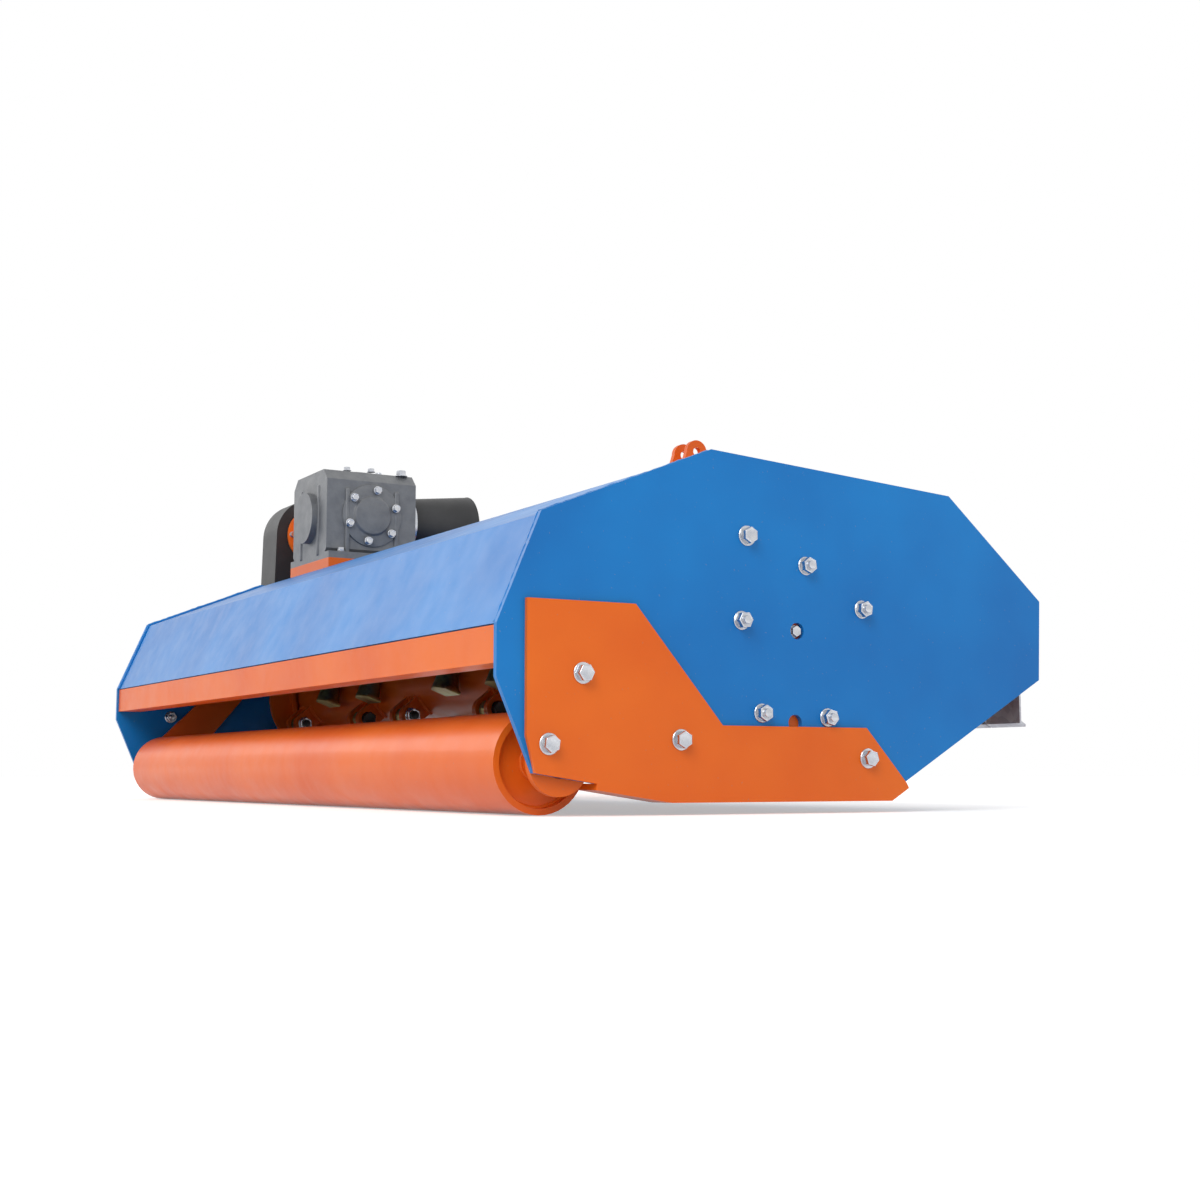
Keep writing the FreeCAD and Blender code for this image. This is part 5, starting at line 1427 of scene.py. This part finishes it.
@dataclass
class Headstock:
    """Welds, linch pins and the leg's lock of the headstock."""

    post: float = 0.100
    hitch_plate: float = 0.020
    hitch_span: Flat = (-0.293, -0.100)
    pin_end: float = 0.012
    leg_wall: float = 0.0276
    holes: int = 6
    first_hole: float = 0.030
    hole_pitch: float = 0.040
    # A radius and a wire's radius for each ring, and a radius and a length for the peg.
    rim: Flat = (0.0085, 0.0009)
    linch_ring: Flat = (0.021, 0.0016)
    linch_peg: Flat = (0.0045, 0.050)
    # The lock pin's length, its radius and its head's radius.
    lock_pin: Point = (0.112, 0.0075, 0.0125)

    def welds(self) -> None:
        """Beads round the arch's feet, the mast's feet and the hitch plates."""
        bead = WeldBead(0.008)
        low, high = corners("head_arch")
        runs = []
        for left, right in ((low.x, low.x + self.post), (high.x - self.post, high.x)):
            foot = ((left, low.y), (right, low.y), (right, high.y), (left, high.y), (left, low.y))
            runs += bead.chain([(x, y, low.z + HAIR) for x, y in foot])
        mast_low, mast_high = corners("mast")
        z = mast_low.z + HAIR
        for x in (mast_low.x, mast_high.x):
            runs.append(bead.run((x, low.y + 2 * HAIR, z), (x, high.y - 2 * HAIR, z)))
        plate_low, plate_high = corners("hitch_plates")
        y = corners("head_beam")[1].y + HAIR
        bottom, top = self.hitch_span
        for x in (plate_low.x, plate_low.x + self.hitch_plate, plate_high.x - self.hitch_plate, plate_high.x):
            runs.append(bead.run((x, y, bottom), (x, y, top)))
        bead.lay("headstock_welds", "headstock", runs)

    def linch_pins(self) -> None:
        """A linch pin with its ring through each lower link pin's end."""
        low, high = corners("hitch_pins")
        _, y, z = (low + high) / 2
        parts = []
        for x in (low.x + self.pin_end, high.x - self.pin_end):
            parts.append(Workshop.drum(16, *self.linch_peg, (x, y, z + 0.004), width=0.001))
            lean = (math.radians(70), 0, 0)
            parts.append(Workshop.hoop(*self.linch_ring, (40, 8), (x, y + 0.006, z + 0.012), lean))
        hand_over(Workshop.join(parts), "linch_pins", "headstock", Finish.BRIGHT)

    def leg_lock(self) -> None:
        """The pull pin through the leg's sleeve, and the row of holes up the leg."""
        low, high = corners("leg_sleeve")
        x, y, z = (low + high) / 2
        pin = headed_pin((low.x - 0.014, y, z), Axis.RIGHT, *self.lock_pin)
        hand_over(pin, "leg_lock_pin", "headstock", Finish.BRIGHT)
        top = corners("parking_leg")[1].z - self.first_hole
        rims = []
        for i in range(self.holes):
            height = top - self.hole_pitch * i
            if low.z - 0.012 < height < high.z + 0.012:
                continue
            for sign in (-1, 1):
                at = (x + sign * self.leg_wall, y, height)
                rims.append(Workshop.hoop(*self.rim, (32, 6), at, ALONG_X))
        hand_over(Workshop.join(rims), "leg_hole_rims", "parking_leg", Finish.LEG)

    def build(self) -> None:
        """Makes all of the headstock's dressing."""
        self.welds()
        self.linch_pins()
        self.leg_lock()


@dataclass
class Hydraulics:
    """Ports on the cylinders, and clips and end fittings of the hoses along the right arm."""

    eye: float = 0.028
    barrel_radius: float = 0.030
    port_reach: Flat = (0.085, 0.375)
    shift_way: Point = (0.6288, -0.7776, 0)
    tilt_way: Point = (-0.9423, 0, 0.3349)
    tilt_up: Point = (0.3349, 0, 0.9423)
    hose_level: float = -0.187
    hose_offset: float = 0.017
    hose_reach: Flat = (0.126, 0.474)
    hose_middle: float = 0.3
    crimp_long: float = 0.050
    clip_reach: Point = (0.210, 0.300, 0.390)
    clip_lift: float = 0.0012
    clip: Point = (0.064, 0.020, 0.019)
    # Each step's sides, radius, start and height.
    union: tuple[Row, ...] = ((24, 0.011, 0.0, 0.008), (6, 0.0105, 0.008, 0.010), (24, 0.008, 0.018, 0.010))
    crimp: tuple[Row, ...] = ((28, 0.0098, 0.0, 0.028), (6, 0.0115, 0.028, 0.012), (20, 0.0070, 0.040, 0.012))

    def ports(self) -> None:
        """Two screwed unions on each cylinder."""
        low, high = corners("shift_barrel")
        shift_foot = Vector((low.x + self.eye, high.y - self.eye, (low.z + high.z) / 2))
        low, high = corners("tilt_barrel")
        tilt_foot = Vector((high.x - self.eye, (low.y + high.y) / 2, low.z + self.eye))
        for body, foot, way, up in (
            ("shift_barrel", shift_foot, self.shift_way, Axis.UP.value),
            ("tilt_barrel", tilt_foot, self.tilt_way, self.tilt_up),
        ):
            along, axis = Vector(way).normalized(), Vector(up).normalized()
            unions = []
            for reach in self.port_reach:
                at = foot + along * reach + axis * self.barrel_radius
                union = Workshop.stack(self.union, 0.001)
                unions.append(Workshop.fix(union, Workshop.spot(tuple(at), axis)))
            hand_over(Workshop.join(unions), f"{body}_ports", body, Finish.BRIGHT, 25.0)

    def hose_line(self) -> None:
        """Crimped ends on the arm's two hoses, with clips across them."""
        front, _, along, across = arm_line("arm_right")
        ends = []
        for sign in (-1, 1):
            for reach in self.hose_reach:
                way = -along if reach < self.hose_middle else along
                at = front + along * reach + across * sign * self.hose_offset
                at = Vector((at.x, at.y, self.hose_level)) - way * self.crimp_long
                ends.append(Workshop.fix(Workshop.stack(self.crimp, 0.0012), Workshop.spot(tuple(at), way)))
        hand_over(Workshop.join(ends), "hose_ends", "right_arm", Finish.BRIGHT, 25.0)
        turn = Matrix.Rotation(math.atan2(across.y, across.x), 4, "Z")
        clips = []
        for reach in self.clip_reach:
            at = front + along * reach
            place = Matrix.Translation((at.x, at.y, self.hose_level + self.clip_lift)) @ turn
            clips.append(Workshop.fix(Workshop.block(self.clip), place))
        hand_over(Workshop.join(clips), "hose_clips", "right_arm", Finish.GREEN)

    def build(self) -> None:
        """Makes all of the hydraulics' dressing."""
        self.ports()
        self.hose_line()


# ---------------------------------------------------------------- studio


@dataclass
class Studio:
    """The floor, the light and the camera."""

    azimuth: float = 60.0
    camera_height: float = 0.05
    distance: float = 3.45
    lens: float = 50.0
    sensor: float = 36.0
    aim: Point = (0.36, 0.20, -0.18)
    lit: Point = (0.2, 0.2, -0.2)
    floor_gap: float = 0.0005
    shown_light: float = 1.0
    soft_light: float = 0.55
    # Each lamp's name, place, power and size.
    lights: tuple[tuple[str, Point, float, float], ...] = (
        ("key", (6.4, -6.0, 5.4), 410.0, 5.2),
        ("fill", (-5.6, -4.4, 4.2), 200.0, 6.0),
        ("front", (1.0, 7.6, 5.0), 185.0, 6.0),
    )

    def floor(self) -> None:
        """A pale floor that shows plain to the camera, with the machine's shadow."""
        Workshop.clear()
        bpy.ops.mesh.primitive_plane_add(size=60.0, location=(0, 0, FLOOR_HEIGHT - self.floor_gap))
        ground = Workshop.fix(bpy.context.object)
        ground.name = "studio_floor"
        PAINT.lay(ground, Finish.FLOOR)

    def sky(self) -> None:
        """A white world to the camera and in reflections, and a plain soft light on the machine."""
        world = bpy.data.worlds.new("studio_world")
        bpy.context.scene.world = world
        world.use_nodes = True
        tree = world.node_tree
        tree.nodes.clear()
        output = tree.nodes.new("ShaderNodeOutputWorld")
        path = tree.nodes.new("ShaderNodeLightPath")
        mix = tree.nodes.new("ShaderNodeMixShader")
        seen = tree.nodes.new("ShaderNodeMath")
        seen.operation = "MAXIMUM"
        for ray, socket in zip(("Is Camera Ray", "Is Glossy Ray"), seen.inputs):
            tree.links.new(path.outputs[ray], socket)
        tree.links.new(seen.outputs[0], mix.inputs[0])
        for strength, socket in zip((self.soft_light, self.shown_light), mix.inputs[1:]):
            light = tree.nodes.new("ShaderNodeBackground")
            light.inputs["Color"].default_value = (1, 1, 1, 1)
            light.inputs["Strength"].default_value = strength
            tree.links.new(light.outputs[0], socket)
        tree.links.new(mix.outputs[0], output.inputs[0])

    @staticmethod
    def stand(name: str, data: bpy.types.ID, at: Vector, aim: Point) -> Piece:
        """Stands a lamp or a camera in the scene.

        Args:
            name: Its name.
            data: The lamp or the camera.
            at: Its place.
            aim: What it points at.

        Returns:
            The object.
        """
        made = bpy.data.objects.new(name, data)
        bpy.context.collection.objects.link(made)
        made.location = at
        made.rotation_euler = (Vector(aim) - at).to_track_quat("-Z", "Y").to_euler()
        return made

    def lamps(self) -> None:
        """Three large soft lamps."""
        for name, at, energy, size in self.lights:
            data = bpy.data.lights.new(name, "AREA")
            data.energy = energy
            data.size = size
            self.stand(name, data, Vector(at), self.lit)

    def camera(self) -> None:
        """The camera at floor level, behind the machine's right-hand end."""
        data = bpy.data.cameras.new("camera")
        data.lens = self.lens
        data.sensor_width = self.sensor
        angle = math.radians(self.azimuth)
        place = Vector(self.aim) + Vector((math.sin(angle), -math.cos(angle), 0)) * self.distance
        place.z = FLOOR_HEIGHT + self.camera_height
        bpy.context.scene.camera = self.stand("camera", data, place, self.aim)

    def build(self) -> None:
        """Sets up the studio."""
        self.floor()
        self.sky()
        self.lamps()
        self.camera()
        bpy.context.scene.view_settings.view_transform = "Standard"


def main() -> None:
    """Dresses the machine, one sub-assembly after another."""
    logging.basicConfig(level=logging.INFO, format="%(message)s")
    Studio().build()
    PAINT.dress_nodes()
    for assembly in (Deck(), Rotor(), Roller(), Drive(), Linkage(), Headstock(), Hydraulics()):
        assembly.build()
        LOG.info("%s is dressed", type(assembly).__name__)
    Workshop.clear()


if __name__ == "__main__":
    main()
